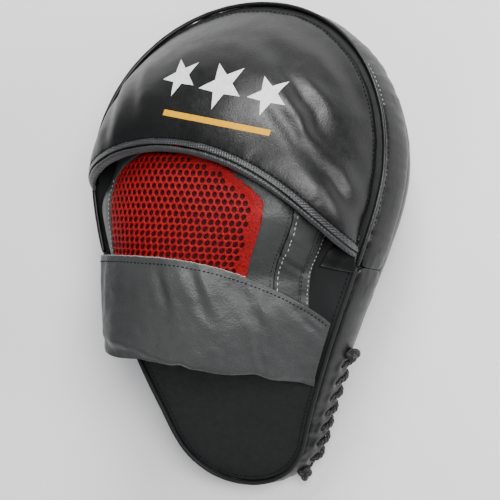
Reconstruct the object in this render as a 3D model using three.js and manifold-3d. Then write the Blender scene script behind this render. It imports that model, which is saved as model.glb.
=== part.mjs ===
// A curved focus mitt (coach's punch mitt) for the left hand, lying on its strike face, in millimetres.
// +X is the thumb side, +Y points to the fingers, +Z is up, out of the back of the hand.
// The pad is drawn flat and then bent round a cylinder that lies along X below it. Places on the pad are
// given as across (x), along (arc length on the pad's back, 0 at mid length) and height.
import * as THREE from "three";
import { mergeVertices } from "three/addons/utils/BufferGeometryUtils.js";
import Module from "manifold-3d";

// ---- Driving dimensions ----
const CLEARANCE = 0.3; // between touching pieces
const LAYER_CLEARANCE = 1.2; // between bent layers, whose facets don't coincide

// Plan of the pad, measured along its bent back to the perimeter seam
const HEAD_HALF_WIDTH = 101.5;
const HEAD_WIDEST = 53; // where along the pad the head is widest
const HEAD_TOP = 168.5;
const HEEL_HALF_WIDTH = 48;
const HEEL_WIDEST = -128;
const HEEL_TIP = -167.5;

// Section of the pad
const PAD_THICKNESS = 43;
const HEEL_THICKNESS = 28;
const TAPER_START = -30; // the pad thins from here to the heel tip
const STRIKE_RADIUS = 317; // bend of the strike face
const SIDE_BULGE = 8; // how far the pad's side stands out of the perimeter seam at mid height
const EDGE_ROLL = 14; // how far the strike face's rolled edge draws in
const REST_FLAT = 1; // depth of the flats worn where the pad stands on its two ends

// Leathers, foams and cloths
const LEATHER = 1.8;
const TARGET_FOAM_SHARE = 0.3;
const CORE_FOAM_SHARE = 0.5;
const HOOD_PADDING = 3.2;
const LINING = 0.9;
const MESH_THICKNESS = 2.6;
const CUFF_PADDING = 2.2;

// Finger hood
const HOOD_LEFT_END = 44; // along the pad, where the hood's rim starts on the little finger side
const HOOD_RIGHT_END = 9; // and on the thumb side
const HOOD_MOUTH_DROP = 8; // length of the hood's two cut ends, rim to mouth
const HOOD_GAP = 6; // from the hand cover's crest up to the hood's mouth
const HOOD_CREST = 72; // how far along the mouth's arch is pulled towards the fingers
const HOOD_PADDING_MARGIN = 0.12; // share of the hood's width and depth that the padding leaves free
const BINDING_WIDTH = 4.5;
const WELT_RADIUS = 1.3;

// Hand cover, thumb stall and mesh window
const COVER_HEIGHT = 45;
const COVER_CREST = -15; // across, where the cover is highest
const COVER_SIDE_MARGIN = 6; // from the perimeter seam to the cover's foot
const COVER_START = -30;
const COVER_END = 78;
const COVER_DIP = 9; // how far the cover's end dips under the hood
const THUMB_FOOT = 67; // across, where the thumb stall comes down on the pad
const THUMB_WRIST_FOOT = 57;
const THUMB_SEAM = 1.645; // share of the arch, 0 little finger foot, 1 crest, 2 thumb foot
const MESH_LEFT = 0.42;
const MESH_RIGHT = 1.44;
const MESH_END = 60;
const HEM_WIDTH = 3.6;
const THUMB_START = -34;
const THUMB_END = 46;
const STALL_SPACING = 23;
const STALL_RADIUS = 10.5;
const STALL_START = 82;
const STALL_LENGTH = 24;
const STALL_WALL = 1.2;
const STALL_SHIFT = -4; // across, the middle of the four stalls
const PALM_BALL_RADIUS = 26;
const PALM_BALL_HEIGHT = 13;
const PALM_BALL_PLACE = [-8, 24]; // across and along

// Cuff
const CUFF_HEIGHT = 50.5;
const CUFF_CREST = -28;
const CUFF_FOOT_MARGIN = 3;
const CUFF_BULGE = -84; // across, the furthest reach of the cuff's little finger side
const CUFF_LOW_EDGE = -64.5;
const CUFF_HIGH_EDGE = -7;
const CUFF_LOW_DROP = 20.5; // how much further down the pad the thumb end's two corners lie
const CUFF_HIGH_DROP = 37;
const CUFF_FOLD = 0.08; // share of the strap's section where it folds, clear of the welt
const CUFF_CREASE = 1.46; // share of the section where the hook-and-loop end starts
const PATCH_THICKNESS = 1.1;
const HOOK_START = 1.8; // share of the section where the hook patch starts
const LOOP_EDGES = [-79, -44]; // along the pad
const LOOP_INSET = 6; // from the perimeter seam to the loop patch
const LOOP_WIDTH = 20;

// Lacing of the side seam
const LACE_RADIUS = 1.1;
const LACE_TURNS = 7;
const LACE_START = -68;
const LACE_END = -150;
const LACE_REACH = 6; // from the side seam to a lace hole
const KNOT_RADIUS = 4.2;

// ---- Solids ----
const wasm = await Module();
wasm.setup();

function toSolid(geometry) {
  const plain = geometry.clone();
  plain.deleteAttribute("normal");
  plain.deleteAttribute("uv");
  const merged = mergeVertices(plain, 1e-4);
  return new wasm.Manifold(
    new wasm.Mesh({
      numProp: 3,
      vertProperties: merged.getAttribute("position").array,
      triVerts: new Uint32Array(merged.index.array),
    }),
  );
}

function toGeometry(manifold) {
  const mesh = manifold.getMesh();
  const geometry = new THREE.BufferGeometry();
  geometry.setAttribute("position", new THREE.BufferAttribute(mesh.vertProperties, 3));
  geometry.setIndex(new THREE.BufferAttribute(mesh.triVerts, 1));
  geometry.computeVertexNormals();
  return geometry;
}

const subtract = (geometry, tool) => toGeometry(toSolid(geometry).subtract(toSolid(tool)));

// A box of across x along x deep cells, each corner of which goes where map(u, v, w) says.
function moulded(map, across, along, deep = 1) {
  const box = new THREE.BoxGeometry(1, 1, 1, across, along, deep);
  const corners = box.getAttribute("position");
  for (let i = 0; i < corners.count; i++) {
    const point = map(corners.getX(i) + 0.5, corners.getY(i) + 0.5, corners.getZ(i) + 0.5);
    corners.setXYZ(i, point.x, point.y, point.z);
  }
  box.computeVertexNormals();
  return box;
}

function normalOf(surface, u, v) {
  const step = 1e-3;
  const [u0, u1] = [Math.max(u - step, 0), Math.min(u + step, 1)];
  const [v0, v1] = [Math.max(v - step, 0), Math.min(v + step, 1)];
  const alongU = surface(u1, v).sub(surface(u0, v));
  const alongV = surface(u, v1).sub(surface(u, v0));
  return alongU.cross(alongV).normalize();
}

// A sheet of leather, cloth or foam from depth low to depth high, both measured along the surface's normal.
function sheet(surface, low, high, across, along) {
  return moulded(
    (u, v, w) => {
      const depth = THREE.MathUtils.lerp(low, high, w);
      return surface(u, v).addScaledVector(normalOf(surface, u, v), depth);
    },
    across,
    along,
  );
}

function tube(path, radius, steps, sides = 8) {
  const section = new THREE.Shape().absarc(0, 0, radius, 0, 2 * Math.PI);
  return new THREE.ExtrudeGeometry(section, {
    extrudePath: path,
    steps,
    curveSegments: sides / 2,
    bevelEnabled: false,
  });
}

// ---- The pad's own shape ----
const BACK_RADIUS = STRIKE_RADIUS + PAD_THICKNESS;
const PLAN_CENTRE = new THREE.Vector2(0, (HEAD_TOP + HEEL_TIP) / 2);
const { lerp, smoothstep, euclideanModulo } = THREE.MathUtils;

function padThickness(along) {
  return lerp(HEEL_THICKNESS, PAD_THICKNESS, smoothstep(along, HEEL_TIP, TAPER_START));
}

// A point at a height over the strike face.
function place(across, along, height) {
  const angle = along / BACK_RADIUS;
  const reach = STRIKE_RADIUS + height;
  return new THREE.Vector3(across, reach * Math.sin(angle), reach * Math.cos(angle));
}

const onBack = (across, along, height) => place(across, along, padThickness(along) + height);

// The perimeter seam, clockwise from the top of the head: an oval head, straight flanks and a round heel.
function perimeterSeam() {
  const round = 0.5523;
  const headLength = HEAD_TOP - HEAD_WIDEST;
  const heelLength = HEEL_WIDEST - HEEL_TIP;
  const path = new THREE.Path();
  path.moveTo(0, HEAD_TOP);
  const right = [
    [round * HEAD_HALF_WIDTH, HEAD_TOP],
    [HEAD_HALF_WIDTH, HEAD_WIDEST + round * headLength],
    [HEAD_HALF_WIDTH, HEAD_WIDEST],
    [HEAD_HALF_WIDTH, HEAD_WIDEST - 40],
    [HEEL_HALF_WIDTH + 8, HEEL_WIDEST + 32],
    [HEEL_HALF_WIDTH, HEEL_WIDEST],
    [HEEL_HALF_WIDTH - 6, HEEL_WIDEST - 24],
    [HEEL_HALF_WIDTH / 2, HEEL_WIDEST - heelLength],
    [0, HEEL_TIP],
  ];
  const left = [[0, HEAD_TOP], ...right.slice(0, -1)].reverse().map(([x, y]) => [-x, y]);
  for (const points of [right, left])
    for (let i = 0; i < points.length; i += 3)
      path.bezierCurveTo(...points[i], ...points[i + 1], ...points[i + 2]);
  return path;
}
const SEAM = perimeterSeam();

// A point of the perimeter, turn 0 to 1 clockwise from the top of the head, moved outwards by offset.
function rim(turn, offset = 0) {
  const t = euclideanModulo(turn, 1);
  const tangent = SEAM.getTangent(t);
  return SEAM.getPoint(t).add(new THREE.Vector2(-tangent.y, tangent.x).multiplyScalar(offset));
}

// The turn at which the thumb side of the perimeter passes a place along the pad.
function turnAt(along) {
  let [low, high] = [0, 0.5];
  for (let i = 0; i < 30; i++) {
    const middle = (low + high) / 2;
    if (SEAM.getPoint(middle).y > along) low = middle;
    else high = middle;
  }
  return (low + high) / 2;
}

const halfWidth = (along) => SEAM.getPoint(turnAt(along)).x;

// How far the pad's side stands outside the perimeter seam: rolled at the strike face, bulged above it.
function sideOffset(height, along, inset = 0) {
  const half = padThickness(along) / 2;
  if (height < half) {
    const fall = Math.min((half - height) / (half - inset), 1);
    return SIDE_BULGE - EDGE_ROLL + (EDGE_ROLL - inset) * Math.sqrt(1 - fall * fall);
  }
  const rise = (height - half) / half;
  const slope = (2 * SIDE_BULGE * rise) / half;
  return SIDE_BULGE * (1 - rise * rise) - inset * Math.hypot(1, slope);
}

// Spreads a square over the plan: ring 0 is the centre and 1 the perimeter, and turn runs from -1/8 to 7/8.
function squareToPlan(u, v) {
  const [a, b] = [2 * u - 1, 2 * v - 1];
  const ring = Math.max(Math.abs(a), Math.abs(b));
  if (ring < 1e-9) return { ring: 0, turn: 0 };
  if (b >= ring) return { ring, turn: a / ring / 8 };
  if (a >= ring) return { ring, turn: (2 - b / ring) / 8 };
  if (b <= -ring) return { ring, turn: (4 - a / ring) / 8 };
  return { ring, turn: (6 + b / ring) / 8 };
}

const inPlan = (ring, turn, offset) => PLAN_CENTRE.clone().lerp(rim(turn, offset), ring);

// A sheet over the whole plan, whose surface is given by ring and turn.
function planSheet(surface, low, high, cells) {
  const unrolled = (t, ring) => surface(ring, t - 1 / 8);
  return moulded(
    (u, v, w) => {
      const { ring, turn } = squareToPlan(u, v);
      const normal = normalOf(unrolled, turn + 1 / 8, Math.max(ring, 0.01));
      return surface(ring, turn).addScaledVector(normal, lerp(low, high, w));
    },
    cells,
    cells,
  );
}

// ---- Pad ----
const SKIN = LEATHER + LAYER_CLEARANCE;
const FOAM_INSET = SKIN + LAYER_CLEARANCE; // at the pad's sides, which curve both ways
const PLAN_CELLS = 18;

// The strike cover's outer surface: the face, then its edge rolled up to the side seam.
const ROLL_RINGS = 1 / 3;
function strikeSurface(ring, turn) {
  const faceRing = Math.min(ring / (1 - ROLL_RINGS), 1);
  const roll = Math.max((ring - 1 + ROLL_RINGS) / ROLL_RINGS, 0);
  const half = padThickness(rim(turn).y) / 2;
  const height = roll > 0 ? (half - CLEARANCE / 2) * (1 - Math.cos((roll * Math.PI) / 2)) : 0;
  const flat = inPlan(faceRing, turn, sideOffset(height, rim(turn).y));
  return place(flat.x, flat.y, height);
}

// A foam layer between two shares of the foam's height.
function foamLayer(lowShare, highShare, deep) {
  const bottom = SKIN;
  const map = (u, v, w) => {
    const { ring, turn } = squareToPlan(u, v);
    const seamAlong = rim(turn).y;
    const heightAt = (along) => {
      const top = padThickness(along) - SKIN;
      const low = lerp(bottom, top, lowShare) + LAYER_CLEARANCE / 2;
      const high = lerp(bottom, top, highShare) - LAYER_CLEARANCE / 2;
      return lerp(low, high, w);
    };
    const flat = inPlan(ring, turn, sideOffset(heightAt(seamAlong), seamAlong, FOAM_INSET));
    return place(flat.x, flat.y, heightAt(flat.y));
  };
  return moulded(map, PLAN_CELLS, PLAN_CELLS, deep);
}

// The back panel's outer surface, inside the side strips.
function backSurface(ring, turn) {
  const flat = inPlan(ring, turn, -LEATHER - CLEARANCE);
  return onBack(flat.x, flat.y, 0);
}

// Everything from the pad's back down: what stands on the pad is trimmed to it, with the clearance.
const padTop = moulded(
  (u, v, w) => {
    const { ring, turn } = squareToPlan(u, v);
    const flat = inPlan(ring, turn, SIDE_BULGE);
    return onBack(flat.x, flat.y, lerp(-8, CLEARANCE, w));
  },
  PLAN_CELLS,
  PLAN_CELLS,
);
const seated = (geometry) => subtract(geometry, padTop);

// A side strip between the side seam and the perimeter seam, from one turn to another.
function sideStrip(from, to, steps) {
  const surface = (u, v) => {
    const turn = lerp(from, to, u);
    const along = rim(turn).y;
    const thickness = padThickness(along);
    const height = lerp(thickness / 2 + CLEARANCE / 2, thickness, v);
    const flat = rim(turn, sideOffset(height, along));
    return place(flat.x, flat.y, height);
  };
  return sheet(surface, 0, LEATHER, steps, 3);
}

const CROSS_SEAM = turnAt(-7); // the two side strips meet here on each flank
const STRIP_GAP = CLEARANCE / SEAM.getLength();
const strikeSheet = planSheet(strikeSurface, 0, LEATHER, 18);
strikeSheet.computeBoundingBox();
const floorHeight = strikeSheet.boundingBox.min.z + REST_FLAT;
const floorBlock = new THREE.BoxGeometry(600, 600, 40).translate(0, 0, floorHeight - 20);

// ---- Finger hood ----
const HOOD_RISE = COVER_HEIGHT + HOOD_GAP;
const HOOD_FROM = -turnAt(HOOD_LEFT_END); // turns run from below 0, over the top, to above 0
const HOOD_TO = turnAt(HOOD_RIGHT_END);
const HOOD_RIM_OFFSET = -LEATHER - 2 * WELT_RADIUS - CLEARANCE;
const HOOD_RIM_HEIGHT = 2.4;

// The mouth's edge, share 0 at the little finger side and 1 at the thumb side.
function mouthEdge(share) {
  const left = rim(HOOD_FROM, HOOD_RIM_OFFSET);
  const right = rim(HOOD_TO, HOOD_RIM_OFFSET);
  const curve = new THREE.CubicBezierCurve(
    new THREE.Vector2(left.x, left.y - HOOD_MOUTH_DROP),
    new THREE.Vector2(0.65 * left.x, HOOD_CREST - 12),
    new THREE.Vector2(0.22 * HEAD_HALF_WIDTH, HOOD_CREST),
    new THREE.Vector2(right.x, right.y - HOOD_MOUTH_DROP),
  );
  return curve.getPoint(share);
}

const arch = (share) => (1 - Math.abs(2 * share - 1) ** 2.4) ** 0.6;

// The hood's outer surface: u along the rim from the little finger side, v from the mouth to the rim.
function hoodSurface(u, v) {
  const share = (1 - Math.cos(Math.PI * u)) / 2;
  const flat = mouthEdge(share).lerp(rim(lerp(HOOD_FROM, HOOD_TO, share), HOOD_RIM_OFFSET), v);
  const rise = HOOD_RISE * arch(share) + 1;
  return onBack(flat.x, flat.y, HOOD_RIM_HEIGHT + rise * Math.cos((v * Math.PI) / 2));
}

// The part of the hood between two shares of u, from the mouth towards the rim.
function hoodPart(fromU, toU, toV) {
  return (u, v) => hoodSurface(lerp(fromU, toU, u), toV * v);
}

// Binding tape folded over the mouth's edge, face to face with the hood's layers.
function mouthBinding() {
  const edge = (u) => hoodSurface(u, 0);
  const wholeDepth = LEATHER + HOOD_PADDING + LINING + 2 * CLEARANCE;
  const map = (u, v, w) => {
    const share = lerp(0.02, 0.98, u);
    const normal = normalOf(hoodSurface, share, 0);
    const forward = edge(share).sub(hoodSurface(share, 0.02)).normalize();
    const depth = Math.min(wholeDepth, LEATHER + wholeDepth * arch((1 - Math.cos(Math.PI * share)) / 2));
    return edge(share)
      .addScaledVector(forward, CLEARANCE + BINDING_WIDTH * v)
      .addScaledVector(normal, lerp(LEATHER / 3, -depth, w));
  };
  return moulded(map, 26, 1);
}

const weltPath = (from, to, count, height) =>
  new THREE.CatmullRomCurve3(
    Array.from({ length: count + 1 }, (_, i) => {
      const flat = rim(lerp(from, to, i / count), -WELT_RADIUS);
      return onBack(flat.x, flat.y, height);
    }),
  );

// ---- Hand cover ----
const bezier = (points, t) => {
  const vectors = points.map(([x, y]) => new THREE.Vector2(x, y));
  return new THREE.CubicBezierCurve(...vectors).getPoint(t);
};

// Under the cuff the cover keeps below the cuff's own layers.
const CUFF_STACK = LEATHER + LAYER_CLEARANCE + CUFF_PADDING;
const WRIST_HEIGHT = CUFF_HEIGHT - CUFF_STACK - (MESH_THICKNESS - LEATHER) - 2 * LAYER_CLEARANCE;

// The cover's section: share 0 at the little finger foot, 1 at the crest, 2 at the thumb foot. It is a full
// arch over the knuckles, and settles to the cuff's lower shape towards the wrist.
function coverSection(share, along) {
  const knuckles = smoothstep(along, CUFF_HIGH_EDGE - 11, CUFF_HIGH_EDGE + 29);
  const underHood = smoothstep(along, 22, 50);
  const foot = -halfWidth(along) + COVER_SIDE_MARGIN + 16 * underHood;
  const mix = (wrist, knuckle) => wrist.map((value, i) => lerp(value, knuckle[i], knuckles));
  const crest = mix([CUFF_CREST, WRIST_HEIGHT], [COVER_CREST, COVER_HEIGHT]);
  const points = [
    [foot, 1],
    mix([-73, 12], [-82 + 4 * underHood, 22]),
    mix([-68, WRIST_HEIGHT], [-64, COVER_HEIGHT]),
    crest,
    mix([24, WRIST_HEIGHT], [30, COVER_HEIGHT]),
    mix([40, 3], [THUMB_FOOT - 1, 0.75 * COVER_HEIGHT]),
    mix([THUMB_WRIST_FOOT, 1], [THUMB_FOOT, 2]),
  ];
  const start = share <= 1 ? 0 : 3;
  return bezier(points.slice(start, start + 4), share <= 1 ? share : share - 1);
}

function coverPart(fromShare, toShare, fromAlong, toAlong) {
  return (u, v) => {
    const along = lerp(fromAlong, toAlong, v);
    const section = coverSection(lerp(fromShare, toShare, u), along);
    const dip = COVER_DIP * smoothstep(along, COVER_END - 40, COVER_END);
    return onBack(section.x, along, Math.max(section.y * (1 - dip / COVER_HEIGHT), 0.5));
  };
}

const coverSheet = sheet(coverPart(0, THUMB_SEAM, COVER_START, COVER_END), -LEATHER, 0, 22, 10);
const windowTool = sheet(
  coverPart(MESH_LEFT - 0.006, MESH_RIGHT + 0.006, COVER_START - 6, MESH_END + CLEARANCE),
  -LEATHER - 3,
  3,
  18,
  10,
);

// ---- Cuff ----
const cuffSpread = (share) => Math.max(share - 1, 0);
const cuffEdges = (share) => [
  CUFF_LOW_EDGE - CUFF_LOW_DROP * cuffSpread(share),
  CUFF_HIGH_EDGE - CUFF_HIGH_DROP * cuffSpread(share) ** 1.75 - 4 * Math.max(0.8 - share, 0),
];

// The strap's section runs like the cover's: foot, crest, then down to its hook-and-loop end.
function cuffPart(fromShare, toShare) {
  return (u, v) => {
    const share = lerp(fromShare, toShare, u);
    const along = lerp(...cuffEdges(share), v);
    const points = [
      [-halfWidth(along) + CUFF_FOOT_MARGIN, 3],
      [CUFF_BULGE, 10],
      [CUFF_BULGE + 5, CUFF_HEIGHT],
      [CUFF_CREST, CUFF_HEIGHT],
      [26, CUFF_HEIGHT + 1.5],
      [42, 9],
      [halfWidth(along) - 2 * WELT_RADIUS - 2 * CLEARANCE, 5],
    ];
    const start = share <= 1 ? 0 : 3;
    const section = bezier(points.slice(start, start + 4), share <= 1 ? share : share - 1);
    return onBack(section.x, along, section.y);
  };
}

// Both halves of the closure: a patch under the tab, and one on the pad below it.
const TAB_END = 1.985;
const wholeHook = cuffPart(HOOK_START, TAB_END);
const hookSurface = (u, v) => wholeHook(u, lerp(0.08, 0.92, v));

function loopSurface(u, v) {
  const along = lerp(...LOOP_EDGES, v);
  return onBack(halfWidth(along) - LOOP_INSET - lerp(LOOP_WIDTH, 0, u), along, CLEARANCE);
}

// ---- Lacing ----
function wallPoint(turn, height, proud) {
  const along = rim(turn).y;
  const flat = rim(turn, sideOffset(height, along) + proud);
  return place(flat.x, flat.y, height);
}

const LACE_FROM = turnAt(LACE_START);
const LACE_TO = turnAt(LACE_END);
const laceProud = LACE_RADIUS + LAYER_CLEARANCE;

// The lace crosses the seam at each turn and slants back to the next pair of holes.
function lacePath() {
  const points = [];
  for (let i = 0; i <= 4 * LACE_TURNS; i++) {
    const turn = lerp(LACE_FROM, LACE_TO, i / (4 * LACE_TURNS));
    const side = [1, 0, -1, 0][i % 4];
    points.push(wallPoint(turn, padThickness(rim(turn).y) / 2 + side * LACE_REACH, laceProud));
  }
  return new THREE.CatmullRomCurve3(points, false, "centripetal");
}

function knotAt(turn, side, shift) {
  const height = padThickness(rim(turn).y) / 2 + side * LACE_REACH;
  return wallPoint(turn + shift / SEAM.getLength(), height, KNOT_RADIUS + CLEARANCE);
}

function knot(turn, shift) {
  const centre = knotAt(turn, 1, shift);
  return new THREE.SphereGeometry(KNOT_RADIUS, 12, 8).translate(centre.x, centre.y, centre.z);
}

// ---- Finger stalls and palm ball ----
function fingerStall() {
  const section = new THREE.Shape().absarc(0, 0, STALL_RADIUS, 0, 2 * Math.PI);
  section.holes.push(new THREE.Path().absarc(0, 0, STALL_RADIUS - STALL_WALL, 0, 2 * Math.PI));
  return new THREE.ExtrudeGeometry(section, {
    depth: STALL_LENGTH,
    curveSegments: 8,
    bevelEnabled: false,
  });
}

function palmBall() {
  const profile = [new THREE.Vector2(0, 0)];
  for (let i = 0; i <= 6; i++) {
    const angle = (i / 6) * (Math.PI / 2);
    profile.push(new THREE.Vector2(PALM_BALL_RADIUS * Math.cos(angle), PALM_BALL_HEIGHT * Math.sin(angle)));
  }
  profile[profile.length - 1].x = 0;
  return new THREE.LatheGeometry(profile, 20).rotateX(Math.PI / 2);
}

// ---- Materials ----
const finish = (color, roughness) =>
  new THREE.MeshStandardMaterial({ color, roughness, metalness: 0 });
const glossLeather = () => finish(0x141416, 0.32);
const mattLeather = () => finish(0x2a2b2b, 0.6);
const greyLeather = () => finish(0x55585a, 0.5);
const blackTape = () => finish(0x2e3133, 0.45);
const redMesh = () => finish(0xc40d18, 0.8);
const blackCloth = () => finish(0x1b1b1d, 0.9);
const foam = () => finish(0x3a3a3c, 0.95);
const waxedCord = () => finish(0x101011, 0.5);
const hookAndLoop = () => finish(0x17171a, 0.95);

// ---- Assembly ----
const mitt = new THREE.Group();
mitt.name = "focus_mitt";

function add(name, geometry, material, parent = mitt) {
  const mesh = new THREE.Mesh(geometry, material);
  mesh.name = name;
  parent.add(mesh);
  return mesh;
}

add("strike_cover", subtract(strikeSheet, floorBlock), glossLeather());
add("target_foam", foamLayer(0, TARGET_FOAM_SHARE, 3), foam());
add("core_foam", foamLayer(TARGET_FOAM_SHARE, TARGET_FOAM_SHARE + CORE_FOAM_SHARE, 2), foam());
add("backing_foam", foamLayer(TARGET_FOAM_SHARE + CORE_FOAM_SHARE, 1, 1), foam());
add("back_panel", planSheet(backSurface, -LEATHER, 0, PLAN_CELLS), mattLeather());
add("head_side_strip", sideStrip(-CROSS_SEAM + STRIP_GAP, CROSS_SEAM - STRIP_GAP, 40), glossLeather());
add("heel_side_strip", sideStrip(CROSS_SEAM, 1 - CROSS_SEAM, 30), glossLeather());

const weltHeight = WELT_RADIUS + LAYER_CLEARANCE;
const hoodWelt = weltPath(-CROSS_SEAM, CROSS_SEAM, 40, weltHeight);
add("hood_welt", tube(hoodWelt, WELT_RADIUS, 48, 6), glossLeather());
const weltGap = 2 * STRIP_GAP;
const heelWelt = weltPath(CROSS_SEAM + weltGap, 1 - CROSS_SEAM - weltGap, 30, weltHeight);
add("heel_welt", tube(heelWelt, WELT_RADIUS, 40, 6), mattLeather());

const padded = HOOD_PADDING_MARGIN;
const lined = padded + 0.02;
const hoodLayers = [
  ["finger_hood", 0, LEATHER, hoodPart(0, 1, 1), 32, 9, glossLeather()],
  ["hood_padding", LEATHER, HOOD_PADDING, hoodPart(padded, 1 - padded, 0.84), 18, 6, foam()],
  ["hood_lining", LEATHER + HOOD_PADDING, LINING, hoodPart(lined, 1 - lined, 0.8), 18, 6, blackCloth()],
];
hoodLayers.forEach(([name, above, thickness, surface, across, along, material], i) => {
  const top = -above - i * LAYER_CLEARANCE;
  add(name, seated(sheet(surface, top - thickness, top, across, along)), material);
});
add("hood_binding", seated(mouthBinding()), blackTape());

add("hand_cover", seated(subtract(coverSheet, windowTool)), greyLeather());
const meshSurface = coverPart(MESH_LEFT, MESH_RIGHT, COVER_START, MESH_END);
add("mesh_panel", sheet(meshSurface, -LEATHER, MESH_THICKNESS - LEATHER, 18, 10), redMesh());
const liningDepth = -LEATHER - LAYER_CLEARANCE;
const liningSurface = coverPart(0.16, THUMB_SEAM - 0.02, COVER_START, COVER_END);
add("hand_cover_lining", seated(sheet(liningSurface, liningDepth - LINING, liningDepth, 16, 8)), blackCloth());
const thumbSurface = coverPart(THUMB_SEAM + 0.008, 2, THUMB_START, THUMB_END);
add("thumb_stall", seated(sheet(thumbSurface, -LEATHER, 0, 8, 10)), greyLeather());
const hemSurface = (u, v) => {
  const along = lerp(THUMB_START, THUMB_END - 6, v);
  const foot = coverSection(2, along).x + LAYER_CLEARANCE;
  return onBack(foot + HEM_WIDTH * u, along, LAYER_CLEARANCE);
};
add("thumb_stall_hem", seated(sheet(hemSurface, 0, LEATHER, 1, 12)), greyLeather());

["little", "ring", "middle", "index"].forEach((finger, i) => {
  const across = (i - 1.5) * STALL_SPACING + STALL_SHIFT;
  const socket = new THREE.Group();
  socket.position.copy(onBack(across, STALL_START, STALL_RADIUS + 2 * LAYER_CLEARANCE));
  socket.rotation.x = -Math.PI / 2 - (STALL_START + STALL_LENGTH / 2) / BACK_RADIUS;
  add("finger_stall_" + finger, fingerStall(), blackCloth(), socket);
  mitt.add(socket);
});
const ball = add("palm_ball", palmBall(), foam());
ball.position.copy(onBack(...PALM_BALL_PLACE, LAYER_CLEARANCE));
ball.rotation.x = -PALM_BALL_PLACE[1] / BACK_RADIUS;

// The strap folds at its foot, which is sewn to the pad, and at the crease of its tab.
const foldGap = 0.014;
const creaseGap = 0.006;
add("cuff_foot", seated(sheet(cuffPart(0, CUFF_FOLD), -LEATHER, 0, 2, 8)), greyLeather());
const strapSurface = cuffPart(CUFF_FOLD + foldGap, CUFF_CREASE - creaseGap / 2);
add("cuff_strap", sheet(strapSurface, -LEATHER, 0, 22, 8), greyLeather());
const cuffPaddingTop = -LEATHER - LAYER_CLEARANCE;
const cuffPadding = sheet(cuffPart(0.24, CUFF_CREASE - 0.03), cuffPaddingTop - CUFF_PADDING, cuffPaddingTop, 18, 8);
add("cuff_padding", cuffPadding, foam());
const tabSurface = cuffPart(CUFF_CREASE + creaseGap / 2, 2);
add("cuff_tab", sheet(tabSurface, -LEATHER, 0, 10, 8), greyLeather());
const hookTop = -LEATHER - 2 * CLEARANCE;
add("hook_patch", sheet(hookSurface, hookTop - PATCH_THICKNESS, hookTop, 3, 6), hookAndLoop());
add("loop_patch", seated(sheet(loopSurface, 0, PATCH_THICKNESS, 2, 6)), hookAndLoop());

add("lace", tube(lacePath(), LACE_RADIUS, 64), waxedCord());
const knotShift = KNOT_RADIUS + LACE_RADIUS + CLEARANCE;
add("lace_knot_top", knot(LACE_FROM, -knotShift), waxedCord());
add("lace_knot_heel", knot(LACE_TO, knotShift), waxedCord());

// The origin is under the middle of the mitt, on the surface that it rests on.
const box = new THREE.Box3().setFromObject(mitt);
const middle = box.getCenter(new THREE.Vector3());
mitt.position.set(-middle.x, -middle.y, -box.min.z);

const scene = new THREE.Group();
scene.add(mitt);

export default scene;
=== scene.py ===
import math

import bpy
from mathutils import Matrix, Vector, noise
from mathutils.bvhtree import BVHTree
from mathutils.kdtree import KDTree


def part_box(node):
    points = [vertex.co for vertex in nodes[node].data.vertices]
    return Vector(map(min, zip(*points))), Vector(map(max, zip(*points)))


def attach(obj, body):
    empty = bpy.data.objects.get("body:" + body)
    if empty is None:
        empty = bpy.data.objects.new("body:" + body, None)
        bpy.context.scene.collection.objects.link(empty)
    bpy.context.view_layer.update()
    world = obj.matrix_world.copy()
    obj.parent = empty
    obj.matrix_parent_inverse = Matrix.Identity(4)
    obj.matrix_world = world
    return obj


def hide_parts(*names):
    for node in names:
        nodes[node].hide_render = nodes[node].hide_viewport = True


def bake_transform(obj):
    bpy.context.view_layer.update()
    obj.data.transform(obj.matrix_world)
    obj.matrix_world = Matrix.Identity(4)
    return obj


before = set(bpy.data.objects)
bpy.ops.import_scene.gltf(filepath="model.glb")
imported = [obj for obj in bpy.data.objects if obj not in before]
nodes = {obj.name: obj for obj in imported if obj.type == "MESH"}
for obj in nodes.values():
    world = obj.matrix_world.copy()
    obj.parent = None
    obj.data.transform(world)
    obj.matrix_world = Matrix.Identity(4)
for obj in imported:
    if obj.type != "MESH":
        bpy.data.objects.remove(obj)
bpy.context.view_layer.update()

# ---- Camera ----
# It looks down on the back of the mitt from the thumb side. The fingers point up and the mitt is turned a
# little clockwise.
VIEW_LEAN = math.radians(22)
VIEW_ROLL = math.radians(3)
VIEW_DISTANCE = 1.1
back_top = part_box("back_panel")[1].z
BEND_MIDDLE = -0.00357  # along Y, the top of the pad's bend
look_at = Vector((0.011, BEND_MIDDLE, back_top - 0.010))
away = Vector((math.sin(VIEW_LEAN), 0, math.cos(VIEW_LEAN)))
level = Vector((math.cos(VIEW_LEAN), 0, -math.sin(VIEW_LEAN)))
up = Vector((0, 1, 0))
picture_right = level * math.cos(VIEW_ROLL) + up * math.sin(VIEW_ROLL)
picture_up = up * math.cos(VIEW_ROLL) - level * math.sin(VIEW_ROLL)
bpy.ops.object.camera_add(location=look_at + away * VIEW_DISTANCE)
camera = bpy.context.object
camera.name = "camera"
camera.rotation_euler = Matrix((picture_right, picture_up, away)).transposed().to_euler()
camera.data.lens = 123.55
camera.data.sensor_width = 36
camera.data.clip_start = 0.05
bpy.context.scene.camera = camera

# ---- Studio ----
# A pale floor that runs on as far as any view reaches, a broad soft light past the fingers, one above, and
# fills from the thumb side and the heel.
bpy.ops.mesh.primitive_plane_add(size=12)
floor = bpy.context.object
floor.name = "studio_floor"
floor_paint = bpy.data.materials.new("pale_floor")
floor_paint.use_nodes = True
paint = floor_paint.node_tree.nodes["Principled BSDF"]
paint.inputs["Base Color"].default_value = (0.93, 0.93, 0.94, 1)
paint.inputs["Roughness"].default_value = 0.9
paint.inputs["Emission Color"].default_value = (1, 1, 1, 1)
paint.inputs["Emission Strength"].default_value = 0.1
floor.data.materials.append(floor_paint)

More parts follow.
